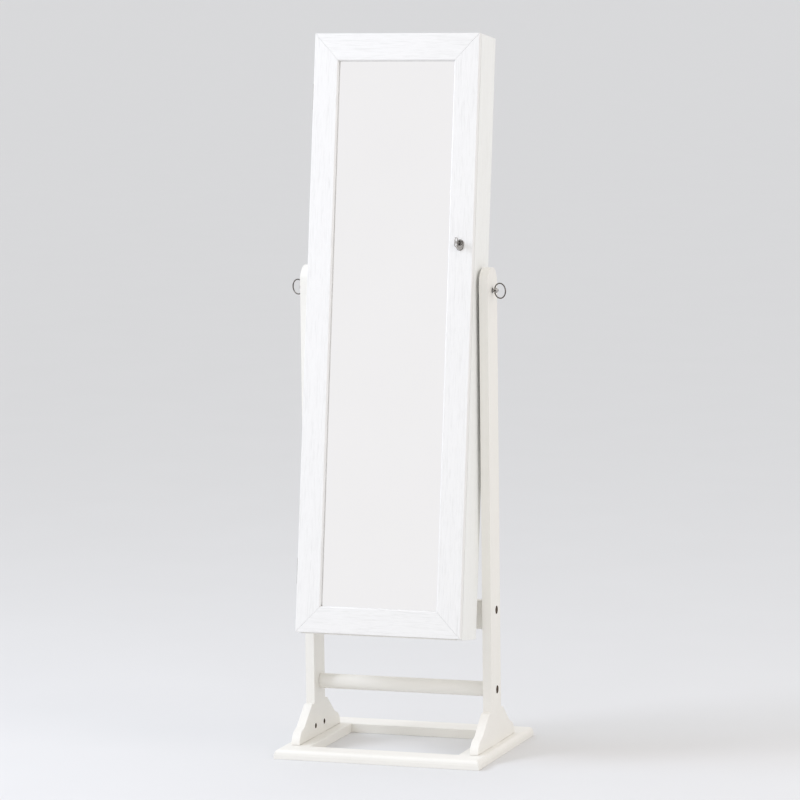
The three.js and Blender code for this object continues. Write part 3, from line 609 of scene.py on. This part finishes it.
# ---------------------------------------------------------------- the stand
def base_profile(width, height):
    """Section of a base board: u from its outer edge inward, v up."""
    quirk, toe, inner_edge = 1.0, 0.8, 1.6      # step under the moulding, lower outer edge, upper inner edge
    rise = height - BASE_BAND
    moulding = [(quirk + (BASE_INSET - quirk) * (1 - math.cos(a)), BASE_BAND + rise * math.sin(a))
                for a in angles_between(0, 90, 9)]
    inner = arc((width - inner_edge, height - inner_edge), inner_edge, 90, 0, 4)
    return [(toe, 0), (0.2, 0.25), (0, toe), (0, BASE_BAND - 0.5), (0.3, BASE_BAND), *moulding,
            *inner, (width, 0.6), (width - 0.6, 0)]


def add_base():
    """Four boards with a quarter-round moulding. Their joints run from each outer corner to the inner one."""
    front_low, front_high = own_box("base_board_front")
    back_low, back_high = own_box("base_board_back")
    left_low, left_high = own_box("base_board_left")
    outer_front, outer_back = front_low.y, back_high.y
    widths = {"front": front_high.y - front_low.y, "back": back_high.y - back_low.y}
    side_width = left_high.x - left_low.x
    height, half = front_high.z, -left_low.x
    slit = MITRE_SLIT / 2

    def mitre(own, other):
        """How far from the outer corner two boards of these widths meet, at inset u."""
        def end(u):
            if u <= BASE_INSET:
                return u + slit
            return BASE_INSET + (u - BASE_INSET) * (other - BASE_INSET) / (own - BASE_INSET) + slit
        return end

    for name, sign, outer in (("front", 1, outer_front), ("back", -1, outer_back)):
        end = mitre(widths[name], side_width)
        bm = mitred_bar(base_profile(widths[name], height), lambda u: -half + end(u), lambda u: half - end(u),
                        lambda t, u, v, s=sign, o=outer: (t, o + s * u, v))
        settle(stand_in(f"base_board_{name}", bm, "white_paint"))
    to_front, to_back = mitre(side_width, widths["front"]), mitre(side_width, widths["back"])
    head_hole, head_depth = 7.0, 6.5
    for name, sign in SIDES:
        bm = mitred_bar(base_profile(side_width, height), lambda u: outer_front + to_front(u),
                        lambda u: outer_back - to_back(u), lambda t, u, v, s=sign: (s * (half - u), t, v))
        piece = stand_in(f"base_board_{name}", bm, "white_paint")
        for end_name, _ in ENDS:
            middle = middle_of(f"base_bolt_{end_name}_{name}")
            hole = bore((head_hole, -1, head_depth), (BOLT_HOLE, head_depth, height + 1))
            # the hole's walls are bare board darkened as painted shade
            carve(piece, turned(hole, "z", (middle.x, middle.y, 0), 32), finish="shaded_raw_board")
        settle(piece)


def in_glue_joint(y):
    """Says whether an edge lies in the plane between a post and a foot."""
    reach = 0.4
    return lambda edge: all(abs(v.co.y - y) < reach for v in edge.verts)


def add_side_frames():
    """Posts with half-round tops, and foot brackets glued to them before and behind."""
    glue_reach = 0.6
    for name, side in SIDES:
        post = f"post_{name}"
        low, high = own_box(post)
        inner, outer = sorted((low.x, high.x), key=abs)
        radius = (high.y - low.y) / 2
        middle = (high.y + low.y) / 2
        outline = [(low.y, low.z), (high.y, low.z), *arc((middle, high.z - radius), radius, 0, 180, 48)]
        bm = bmesh.new()
        skinned(bm, [[bm.verts.new((x, y, z)) for y, z in outline] for x in (inner, outer)])
        soften_edges(bm, PAINT_EDGE)
        piece = stand_in(post, bm, "white_paint")
        drill_post(piece, name, side, inner, outer)
        settle(piece)
        for end_name, end in ENDS:
            foot = f"foot_{end_name}_{name}"
            glued = middle + end * radius
            bm = bmesh_of(foot)
            for vert in bm.verts:
                if abs(vert.co.y - glued) < glue_reach:
                    vert.co.y = glued
            soften_edges(bm, PAINT_EDGE, keep=in_glue_joint(glued))
            settle(stand_in(foot, bm, "white_paint"))


def drill_post(piece, name, side, inner, outer):
    """Pivot hole, counterbored rail bolts and barrel nut holes, each with a broken edge."""
    counterbore, counterbore_depth, widening = 8.3, 4.5, 0.4
    nut_hole, nut_depth = 5.3, 16.3
    depth = abs(outer - inner)
    rim, sunk, past = depth - BROKEN_RIM, depth - counterbore_depth, depth + 2
    hole = bore((BOLT_HOLE, -1, rim), (BOLT_HOLE + widening, depth, past))
    carve(piece, turned(hole, OUTWARD[side], (inner, PIVOT.y / MM, PIVOT.z / MM), 32))
    for rank in ("lower", "upper"):
        middle = middle_of(f"rail_bolt_{rank}_{name}")
        hole = bore((BOLT_HOLE, -1, sunk), (counterbore, sunk, rim), (counterbore + widening, depth, past))
        # the counterbore's walls are bare board darkened as painted shade
        carve(piece, turned(hole, OUTWARD[side], (inner, middle.y, middle.z), 48), finish="shaded_raw_board")
    for end_name, _ in ENDS:
        middle = middle_of(f"barrel_nut_{end_name}_{name}")
        hole = bore((nut_hole, -nut_depth, -0.3), (nut_hole + 0.3, 0, 2))
        # the nut hole's walls are bare board darkened as painted shade
        carve(piece, turned(hole, INWARD[side], (inner, middle.y, middle.z), 40), finish="shaded_raw_board")


def add_rails():
    """The oval lower rail and the flat upper rail, each with its ends tight against the posts."""
    low, high = own_box("cross_rail_lower")
    centre_y, centre_z = (low.y + high.y) / 2, (low.z + high.z) / 2
    radius_y, radius_z = (high.y - low.y) / 2, (high.z - low.z) / 2
    sides, spans, end_width, end_shrink = 96, 8, 0.5, 0.35
    between = [low.x + (high.x - low.x) * i / spans for i in range(1, spans)]
    bm = bmesh.new()
    rings = []
    for x in (low.x, low.x + end_width, *between, high.x - end_width, high.x):
        shrink = end_shrink if x in (low.x, high.x) else 0
        rings.append([bm.verts.new((x, centre_y + (radius_y - shrink) * math.cos(a),
                                    centre_z + (radius_z - shrink) * math.sin(a)))
                      for a in (2 * math.pi * i / sides for i in range(sides))])
    skinned(bm, rings)
    settle(stand_in("cross_rail_lower", bm, "white_paint"))
    softened_box("cross_rail_upper", "white_paint", 1.5, 4, WORLD_AXES)


def add_screw(node, axis, finish):
    """A socket-head screw in a CAD screw's place; the axis points from its head to its tip."""
    low, high = own_box(node)
    index = "xyz".index(axis[-1])
    length = high[index] - low[index]
    at = (low + high) / 2
    at[index] = high[index] if axis.startswith("-") else low[index]
    head, head_height, crown, groove, tip, unthreaded = 6.4, 3.0, 0.9, 0.35, 1.6, 6
    profile = [(0, 0), *[(head - crown + crown * math.sin(a), crown - crown * math.cos(a))
                         for a in angles_between(0, 90, 15)],
               (head, head_height - 0.3), (head - 0.3, head_height), (SHANK_RADIUS, head_height)]
    turns, plain = 24, 0.6
    threaded = length - unthreaded
    for k in range(turns):
        along = head_height + plain + k * threaded / turns
        profile += [(SHANK_RADIUS, along), (SHANK_RADIUS - groove, along + threaded / turns / 2)]
    profile += [(SHANK_RADIUS, length - tip), (SHANK_RADIUS - 1, length), (0, length)]
    piece = stand_in(node, turned(profile, axis, at, 48), finish)
    key_width, key_depth = 4.0, 2.2
    corner = key_width / math.sqrt(3)
    socket = [(0, -1), (corner, -1), (corner, key_depth), (0, key_depth + 0.8)]
    carve(piece, turned(socket, axis, at, 6))
    settle(piece, 32)


def add_barrel_nut(node, side):
    """A cross dowel with a slot in its visible end and a threaded hole across it."""
    low, high = own_box(node)
    middle = (low + high) / 2
    radius, edge, thread, thread_reach = 5.0, 0.6, 3.2, 9
    slot_half = Vector((1.2, 4, 0.6))
    start = Vector((low.x if side > 0 else high.x, middle.y, middle.z))
    length = high.x - low.x
    profile = [(0, 0), (radius - edge, 0), (radius, edge), (radius, length - edge), (radius - edge, length),
               (0, length)]
    piece = stand_in(node, turned(profile, OUTWARD[side], start, 48), "bronze_steel")
    carve(piece, boxed(start - slot_half, start + slot_half))
    hole = bore((thread, middle.z - thread_reach, middle.z + thread_reach))
    carve(piece, turned(hole, "z", (middle.x, middle.y, 0), 32))
    settle(piece, 32)


def add_stand_fasteners():
    for name, side in SIDES:
        for rank in ("lower", "upper"):
            add_screw(f"rail_bolt_{rank}_{name}", INWARD[side], "bronze_steel")
        for end_name, _ in ENDS:
            add_screw(f"base_bolt_{end_name}_{name}", "z", "nickel_steel")
            add_barrel_nut(f"barrel_nut_{end_name}_{name}", side)


# ---------------------------------------------------------------- the case
def add_case():
    """Four boards and a back panel that is held by two columns of screws."""
    for side, _ in SIDES:
        refined(f"case_side_{side}", "grain_case", PAINT_EDGE)
    for node in ("case_top", "case_bottom"):
        refined(node, "white_paint", PAINT_EDGE)
    softened_box("case_back", "back_board", 0.5, 2)
    low, high = own_box("case_back", CASE_AXES)
    margin, count, screw_radius = 14, 6, 2.9
    for name, column in (("left", low.x + margin), ("right", high.x - margin)):
        for row in range(count):
            z = low.z + margin * 2 + (high.z - low.z - margin * 4) * row / (count - 1)
            add_cross_screw(f"back_screw_{name}_{row + 1}", (column, high.y, z), "y", screw_radius, "cabinet")


def add_cross_screw(name, at, axis, radius, body):
    """A countersunk screw head with a cross recess; the axis points out of the surface."""
    sunk, dome, recess = 1.6, 0.35, 0.9
    profile = [(0, -sunk), (radius * 0.45, -sunk), (radius, 0), (radius * 0.96, dome * 0.4),
               (radius * 0.6, dome * 0.9), (0, dome)]
    piece = finished(name, turned(profile, axis, at, 40), "nickel_steel", body, CASE_AXES)
    index = "xyz".index(axis[-1])
    sign = -1 if axis.startswith("-") else 1
    flat = [i for i in range(3) if i != index]
    arm, blade = radius * 0.62, radius * 0.14
    for reaches in ((blade, arm), (arm, blade)):
        low, high = Vector(at), Vector(at)
        for i, reach in zip(flat, reaches):
            low[i] -= reach
            high[i] += reach
        low[index], high[index] = sorted((at[index] - sign * recess, at[index] + sign * 2))
        carve(piece, boxed(low, high), CASE_AXES)
    settle(piece, 30)


# ---------------------------------------------------------------- inside the case
def add_shelves():
    for number in (1, 2, 3):
        refined(f"shelf_{number}", "flocked_board", 1.6, 4)


def add_ring_cushion():
    """A velvet block swollen by cloth pressure, then pressed into rolls with slots for rings between them."""
    low, high = own_box("ring_cushion", CASE_AXES)
    room = Vector((2.5,) * 3)                   # left for the pressure to fill
    rolls, groove, reach, fade, roundness = 7, 9.0, 20, 5, 2.6
    bm = boxed(low + room, high - room)
    soften_edges(bm, 6, 4)
    piece = stand_in("ring_cushion", bm, "velvet_cushion", CASE_AXES)
    remesh = piece.modifiers.new("remesh", "REMESH")
    remesh.mode = "VOXEL"
    remesh.voxel_size = 4.5 * MM
    bake(piece)
    swell(piece, 2.2 * MM)
    finer = piece.modifiers.new("finer", "SUBSURF")
    finer.levels = 1
    bake(piece)
    height = (high.z - low.z) / rolls
    for vert in piece.data.vertices:
        x, y, z = vert.co / MM
        depth = min(max((low.y + reach - y) / reach, 0), 1)
        if depth <= 0:
            continue
        place = (z - low.z) / height
        across = abs(place - math.floor(place) - 0.5) * 2
        press = groove * (1 - math.sqrt(max(1 - across ** roundness, 0)))
        end_fade = min(1, (x - low.x) / fade, (high.x - x) / fade)
        wobble = 0.35 * math.sin(x / 17 + 2.1 * math.floor(place)) * (1 - across)
        vert.co.y = (y + depth * (press + wobble) * max(end_fade, 0)) * MM
    piece.data.polygons.foreach_set("use_smooth", [True] * len(piece.data.polygons))


def swell(piece, cap):
    """Inflates a soft piece with cloth pressure. No point moves further than cap."""
    rest = [v.co.copy() for v in piece.data.vertices]
    cloth = piece.modifiers.new("cloth", "CLOTH")
    cloth.settings.use_pressure = True
    cloth.settings.uniform_pressure_force = 4
    cloth.settings.effector_weights.gravity = 0
    cloth.settings.quality = 5
    scene = bpy.context.scene
    last_frame = 20
    for number in range(1, last_frame + 1):
        scene.frame_set(number)
    bake(piece)
    scene.frame_set(1)
    for vert, start in zip(piece.data.vertices, rest):
        moved = vert.co - start
        if moved.length > cap:
            vert.co = start + moved.normalized() * cap


def add_earring_board():
    """A lined board drilled with rows of small holes for earring posts."""
    low, high = own_box("earring_board", CASE_AXES)
    columns, rows, hole = 26, 17, 1.5
    margin = 9.0
    step_x = (high.x - low.x - 2 * margin) / columns
    step_z = (high.z - low.z - 2 * margin) / rows
    bm = bmesh.new()
    xs = [low.x + margin + i * step_x for i in range(columns + 1)]
    zs = [low.z + margin + i * step_z for i in range(rows + 1)]
    faces_y = (low.y, high.y)
    for i in range(columns):
        for j in range(rows):
            add_drilled_cell(bm, (xs[i], xs[i + 1]), (zs[j], zs[j + 1]), faces_y, hole)
    x_edges, z_edges = (low.x, *xs, high.x), (low.z, *zs, high.z)
    for y in faces_y:
        for i in range(len(x_edges) - 1):
            for j in range(len(z_edges) - 1):
                if 0 < i < columns + 1 and 0 < j < rows + 1:
                    continue
                corners = [(x_edges[i], z_edges[j]), (x_edges[i + 1], z_edges[j]),
                           (x_edges[i + 1], z_edges[j + 1]), (x_edges[i], z_edges[j + 1])]
                bm.faces.new([bm.verts.new((x, y, z)) for x, z in corners])
    rim = [(x, low.z) for x in x_edges] + [(high.x, z) for z in z_edges[1:]]
    rim += [(x, high.z) for x in reversed(x_edges[:-1])] + [(low.x, z) for z in reversed(z_edges[1:-1])]
    for k in range(len(rim)):
        (xa, za), (xb, zb) = rim[k], rim[(k + 1) % len(rim)]
        bm.faces.new([bm.verts.new(p) for p in ((xa, faces_y[0], za), (xb, faces_y[0], zb),
                                                (xb, faces_y[1], zb), (xa, faces_y[1], za))])
    bmesh.ops.remove_doubles(bm, verts=bm.verts, dist=0.01)
    settle(stand_in("earring_board", bm, "flocked_board", CASE_AXES))


def add_drilled_cell(bm, x_span, z_span, y_faces, radius):
    """One cell of a board with a round hole through its middle."""
    cx, cz = sum(x_span) / 2, sum(z_span) / 2
    border = [(x_span[1], cz), (x_span[1], z_span[1]), (cx, z_span[1]), (x_span[0], z_span[1]),
              (x_span[0], cz), (x_span[0], z_span[0]), (cx, z_span[0]), (x_span[1], z_span[0])]
    loops = []
    for y in y_faces:
        rim = [bm.verts.new((cx + radius * math.cos(a), y, cz + radius * math.sin(a)))
               for a in (k * math.pi / 4 for k in range(8))]
        edge = [bm.verts.new((x, y, z)) for x, z in border]
        for k in range(8):
            n = (k + 1) % 8
            bm.faces.new((rim[k], rim[n], edge[n], edge[k]))
        loops.append(rim)
    for k in range(8):
        n = (k + 1) % 8
        bm.faces.new((loops[0][k], loops[0][n], loops[1][n], loops[1][k]))


def add_necklace_rail():
    """A batten with a row of turned pegs that slope up and end in a bead."""
    low, high = own_box("necklace_rail", CASE_AXES)
    batten_thick, batten_height, batten_bottom = 10.0, 30.0, 462.0
    count, peg_span, peg_lean, peg_radius, peg_sunk = 9, 264, 0.3, 2.4, 4
    bead_radius, bead_length, bead_at = 4.0, 3.6, 29.5
    face = high.y - batten_thick
    bm = boxed((low.x, face, batten_bottom), (high.x, high.y, batten_bottom + batten_height))
    soften_edges(bm, 1.8, 4)
    bead = [(bead_radius * math.sin(a), bead_at - bead_length * math.cos(a))
            for a in angles_between(40, 179, 14)]
    profile = [(0, 0), (peg_radius, 0), (peg_radius, 22), (2.1, 25), *bead, (0, bead_at + bead_length)]
    for number in range(count):
        x = peg_span * (number / (count - 1) - 0.5)
        peg = turned(profile, "-y", (0, 0, 0), 32)
        place = Matrix.Translation((x, face + peg_sunk, batten_bottom + batten_height / 2))
        bmesh.ops.transform(peg, matrix=place @ Matrix.Rotation(-peg_lean, 4, "X"), verts=peg.verts)
        scratch = bpy.data.meshes.new("peg")
        peg.to_mesh(scratch)
        peg.free()
        bm.from_mesh(scratch)
        bpy.data.meshes.remove(scratch)
    settle(stand_in("necklace_rail", bm, "white_paint", CASE_AXES), 50)


# ---------------------------------------------------------------- the door
def door_profile(width, depth, lip):
    """Section of a door member: u from its outer edge inward, v from its front face back."""
    gap_inset, undercut_width, undercut_height = 6, 3.0, 1.7
    step = depth - SHADOW_GAP
    outer = arc((DOOR_EDGE, DOOR_EDGE), DOOR_EDGE, 180, 270, 4)
    bevel = [(width - BEVEL_WIDTH - 0.5, 0), (width - BEVEL_WIDTH, 0.25), (width - 0.15, BEVEL_DEPTH),
             (width, BEVEL_DEPTH + 0.4)]
    undercut = [(width, lip - undercut_height), (width - undercut_width, lip)]
    return [(gap_inset, depth), (gap_inset, step), (0.5, step), (0, step - 0.5), *outer, *bevel, *undercut,
            (width - REBATE, lip), (width - REBATE, depth)]


def add_door_frame():
    """Four mitred members; the grain follows each member's length."""
    low, high = own_box("door_stile_left", CASE_AXES)
    right = own_box("door_stile_right", CASE_AXES)[1].x
    top_low, top_high = own_box("door_rail_top", CASE_AXES)
    bottom_low, bottom_high = own_box("door_rail_bottom", CASE_AXES)
    glass_front = own_box("mirror_glass", CASE_AXES)[0].y
    front, back = low.y, high.y
    stile = high.x - low.x
    top_rail, bottom_rail = top_high.z - top_low.z, bottom_high.z - bottom_low.z
    top, bottom = top_high.z, bottom_low.z
    lip = glass_front - 0.3 - front
    slit = DOOR_SLIT / 2
    for name, side in SIDES:
        bm = mitred_bar(door_profile(stile, back - front, lip),
                        lambda u: bottom + u * bottom_rail / stile + slit,
                        lambda u: top - u * top_rail / stile - slit,
                        lambda t, u, v, s=side: (s * (right - u), front + v, t))
        settle(stand_in(f"door_stile_{name}", bm, "grain_upright", CASE_AXES), 50)
    for name, width, edge, inward in (("top", top_rail, top, -1), ("bottom", bottom_rail, bottom, 1)):
        bm = mitred_bar(door_profile(width, back - front, lip),
                        lambda u: -right + u * stile / width + slit,
                        lambda u: right - u * stile / width - slit,
                        lambda t, u, v, e=edge, s=inward: (t, front + v, e + s * u))
        settle(stand_in(f"door_rail_{name}", bm, "grain_level", CASE_AXES), 50)


def add_mirror():
    softened_box("mirror_glass", "mirror", 0.4, 2)
    softened_box("door_lining", "flocked_board", 1.2, 4)


# ---------------------------------------------------------------- hinges and lock
def add_hinges():
    """Butt hinges with three screws in each leaf, the middle one set off from the other two."""
    screw_radius, screw_pitch, screw_inset, screw_stagger = 2.1, 18, 6.6, 1.4
    for rank in ("upper", "lower"):
        for half, axis, body in (("case", "-y", "cabinet"), ("door", "y", "door")):
            node = f"hinge_{half}_leaf_{rank}"
            refined(node, "nickel_steel", 0.18, 2)
            low, high = own_box(node, CASE_AXES)
            surface = free_face(node, half)
            for row in (-1, 0, 1):
                at = (high.x - screw_inset + screw_stagger * abs(row), surface,
                      (low.z + high.z) / 2 + row * screw_pitch)
                add_cross_screw(f"hinge_screw_{half}_{rank}_{row + 2}", at, axis, screw_radius, body)
        add_hinge_pin(f"hinge_pin_{rank}")


def add_hinge_pin(node):
    """A pin with a low domed cap at each end."""
    low, high = own_box(node, CASE_AXES)
    middle = (low + high) / 2
    length = high.z - low.z
    cap_radius, cap_height, pin_radius = 2.4, 1.5, 1.5
    cap = [(cap_radius * math.sin(a), cap_height - cap_height * math.cos(a))
           for a in angles_between(0, 90, 15)]
    tail = [(r, length - h) for r, h in reversed(cap)]
    profile = [*cap, (pin_radius, cap_height + 0.1), (pin_radius, length - cap_height - 0.1), *tail]
    bm = turned(profile, "z", (middle.x, middle.y, low.z), 40)
    settle(stand_in(node, bm, "nickel_steel", CASE_AXES))


def free_face(node, half):
    """How far back the screws sit in a hinge leaf: just under the face that looks at the other leaf."""
    sink = 0.15
    back = CASE_AXES.inverted()
    points = [(back @ v.co) / MM for v in frame["nodes"][node].data.vertices]
    edge = max(p.x for p in points)
    flat = [p.y for p in points if p.x > edge - 0.5]
    return min(flat) + sink if half == "case" else max(flat) - sink


def add_lock():
    """An oval plate with its barrel, the plug with key and cam, and the strike plate on the case's side."""
    front = own_box("lock_housing", CASE_AXES)[0].y
    bm = bmesh_of("lock_housing", CASE_AXES)
    soften_edges(bm, 1.0, 4, keep=lambda e: not all(abs(v.co.y - front) < 0.05 for v in e.verts))
    plate = settle(stand_in("lock_housing", bm, "nickel_steel", CASE_AXES))
    # paints shade on the plate's rounded front edges
    paint_shade(plate, lambda face: -0.95 < face.normal.y < -0.05 and face.center.y < (front + 1.5) * MM)
    low, high = own_box("lock_plug", CASE_AXES)
    middle = (low + high) / 2
    length = high.y - low.y
    radius = (high.x - low.x) / 2
    profile = [(0, 0), (radius - 0.5, 0), (radius - 0.15, 0.15), (radius, 0.5), (radius, length - 0.4),
               (radius - 0.4, length), (0, length)]
    bm = turned(profile, "y", (middle.x, low.y, middle.z), 64)
    plug = stand_in("lock_plug", bm, "nickel_steel", CASE_AXES)
    # the walls of the guide and keyway are painted near-black as shade
    guide_and_keyway = ((2.2, 1.2, 4.6), (1.2, 17, 3.5))        # half width, depth, half height
    for half_width, depth, half_height in guide_and_keyway:
        slot = boxed((middle.x - half_width, low.y - 1, middle.z - half_height),
                     (middle.x + half_width, low.y + depth, middle.z + half_height))
        carve(plug, slot, CASE_AXES, "painted_shade_steel")
    settle(plug)
    for node, edge in (("lock_cam", 0.35), ("key", 0.12), ("lock_strike", 0.3)):
        refined(node, "nickel_steel", edge, 2)
    cam_back = own_box("lock_cam", CASE_AXES)[1].y
    nut = turned([(0, 0), (4.6, 0), (4.6, 2.0), (4.1, 2.5), (1.9, 2.5), (1.9, 3.1), (0, 3.1)], "y",
                 (middle.x, cam_back, middle.z), 6)
    settle(finished("cam_nut", nut, "nickel_steel", "lock", CASE_AXES))
    low, high = own_box("lock_strike", CASE_AXES)
    screw_inset, screw_radius = 3, 1.8
    for rank, z in (("lower", low.z + screw_inset), ("upper", high.z - screw_inset)):
        at = (low.x, (low.y + high.y) / 2, z)
        add_cross_screw(f"strike_screw_{rank}", at, "-x", screw_radius, "cabinet")


# ---------------------------------------------------------------- pivots and pull rings
def add_pivots():
    """At each side a threaded insert, a spacer, a pivot bolt and its pull ring."""
    post_outer = max(abs(corner.x) for corner in own_box("post_right"))
    for name, side in SIDES:
        for part, finish, edge in (("pivot_insert", "brass_insert", 0.3), ("pivot_spacer", "nylon", 0.8)):
            node = f"{part}_{name}"
            low, high = own_box(node, CASE_AXES)
            near, far = sorted((abs(low.x), abs(high.x)))
            section = tube_profile((high.z - low.z) / 2, BOLT_HOLE, near, far, edge)
            bm = revolved_ring(section, OUTWARD[side], 72)
            settle(stand_in(node, bm, finish, CASE_AXES))
        ring_hole = Vector((side * (post_outer + RING_HOLE_OFFSET), PIVOT.y / MM, PIVOT.z / MM))
        add_pivot_bolt(f"pivot_bolt_{name}", side, post_outer, ring_hole)
        add_pull_ring(f"pull_ring_{name}", side, ring_hole)


def add_pivot_bolt(node, side, post_outer, ring_hole):
    """A shank, a collar and a ball on a short neck, drilled across for the ring and socketed at the front."""
    start = min(abs(corner.x) for corner in own_box(node))
    collar, ball, neck = post_outer + 0.3, post_outer + BALL_OFFSET, 3.4
    end = ball + BALL_RADIUS
    shank = [(0, start), (SHANK_RADIUS - 0.8, start), (SHANK_RADIUS, start + 1)]
    flange = [(SHANK_RADIUS, collar), (COLLAR_RADIUS - 0.3, collar), (COLLAR_RADIUS, collar + 0.3),
              (COLLAR_RADIUS, collar + 0.9), (COLLAR_RADIUS - 0.4, collar + 1.2), (neck + 0.3, collar + 1.5),
              (neck, collar + 1.9)]
    begin, stop, steps = math.asin(neck / BALL_RADIUS), math.pi - DIMPLE_ANGLE, 24
    globe = [(BALL_RADIUS * math.sin(a), ball - BALL_RADIUS * math.cos(a))
             for a in (begin + (stop - begin) * i / steps for i in range(steps + 1))]
    dimple = [(1.8, end - 2.2), (0, end - 3.2)]
    profile = [*shank, *flange, *globe, *dimple]
    piece = stand_in(node, turned(profile, OUTWARD[side], (0, ring_hole.y, ring_hole.z), 72), "nickel_steel")
    reach, steps = BALL_RADIUS + 1, 12
    flare = [(RING_WIRE + 0.3 + RING_RADIUS - math.sqrt(RING_RADIUS ** 2 - h ** 2), h)
             for h in (-reach + 2 * reach * i / steps for i in range(steps + 1))]
    carve(piece, turned([(0, -reach), *flare, (0, reach)], "z", ring_hole, 32))
    socket_radius, socket_floor = 1.9, 3.4
    socket = bore((socket_radius, socket_floor, BALL_RADIUS + 2))
    # the socket's walls are painted near-black as shade
    carve(piece, turned(socket, "-y", (side * ball, ring_hole.y, ring_hole.z), 32), finish="painted_shade_steel")
    settle(piece, 40)
    # paints shade into the ball's dimple and a dark shaded line along the collar's rim
    paint_shade(piece, lambda face: in_dimple_or_rim(face.center / MM, collar, ball))


def in_dimple_or_rim(point, collar, ball):
    """Says whether a point of a pivot bolt lies in the ball's dimple or on the collar's rim."""
    radius = math.hypot(point.y - PIVOT.y / MM, point.z - PIVOT.z / MM)
    along = abs(point.x)
    in_dimple = along > ball and radius < BALL_RADIUS * math.sin(DIMPLE_ANGLE) - 0.02
    on_rim = collar < along < collar + 1.2 and radius > COLLAR_RADIUS - 0.25
    return in_dimple or on_rim


def add_pull_ring(node, side, hole):
    """A wire ring whose two ends meet in a fine butt joint."""
    turn = -math.radians(RING_TURN)
    outward = Vector((math.cos(turn), math.sin(turn), 0)) * side
    upward = Vector((0, 0, 1))
    across = outward.cross(upward)
    centre = hole + outward * RING_RADIUS
    joint_at, joint_width, end_taper = math.radians(30), 0.012, 0.86
    steps, sides = 96, 20
    rings = []
    bm = bmesh.new()
    for i in range(steps + 1):
        a = joint_at + joint_width / 2 + (2 * math.pi - joint_width) * i / steps
        radial = outward * math.cos(a) + upward * math.sin(a)
        wire = RING_WIRE * (end_taper if i in (0, steps) else 1)
        rings.append([bm.verts.new(centre + radial * (RING_RADIUS + wire * math.cos(b))
                                   + across * wire * math.sin(b))
                      for b in (2 * math.pi * k / sides for k in range(sides))])
    skinned(bm, rings)
    settle(stand_in(node, bm, "pivot_steel"))


add_camera()
add_floor()
add_light()
add_base()
add_side_frames()
add_rails()
add_stand_fasteners()
add_case()
add_shelves()
add_ring_cushion()
add_earring_board()
add_necklace_rail()
add_door_frame()
add_mirror()
add_hinges()
add_lock()
add_pivots()
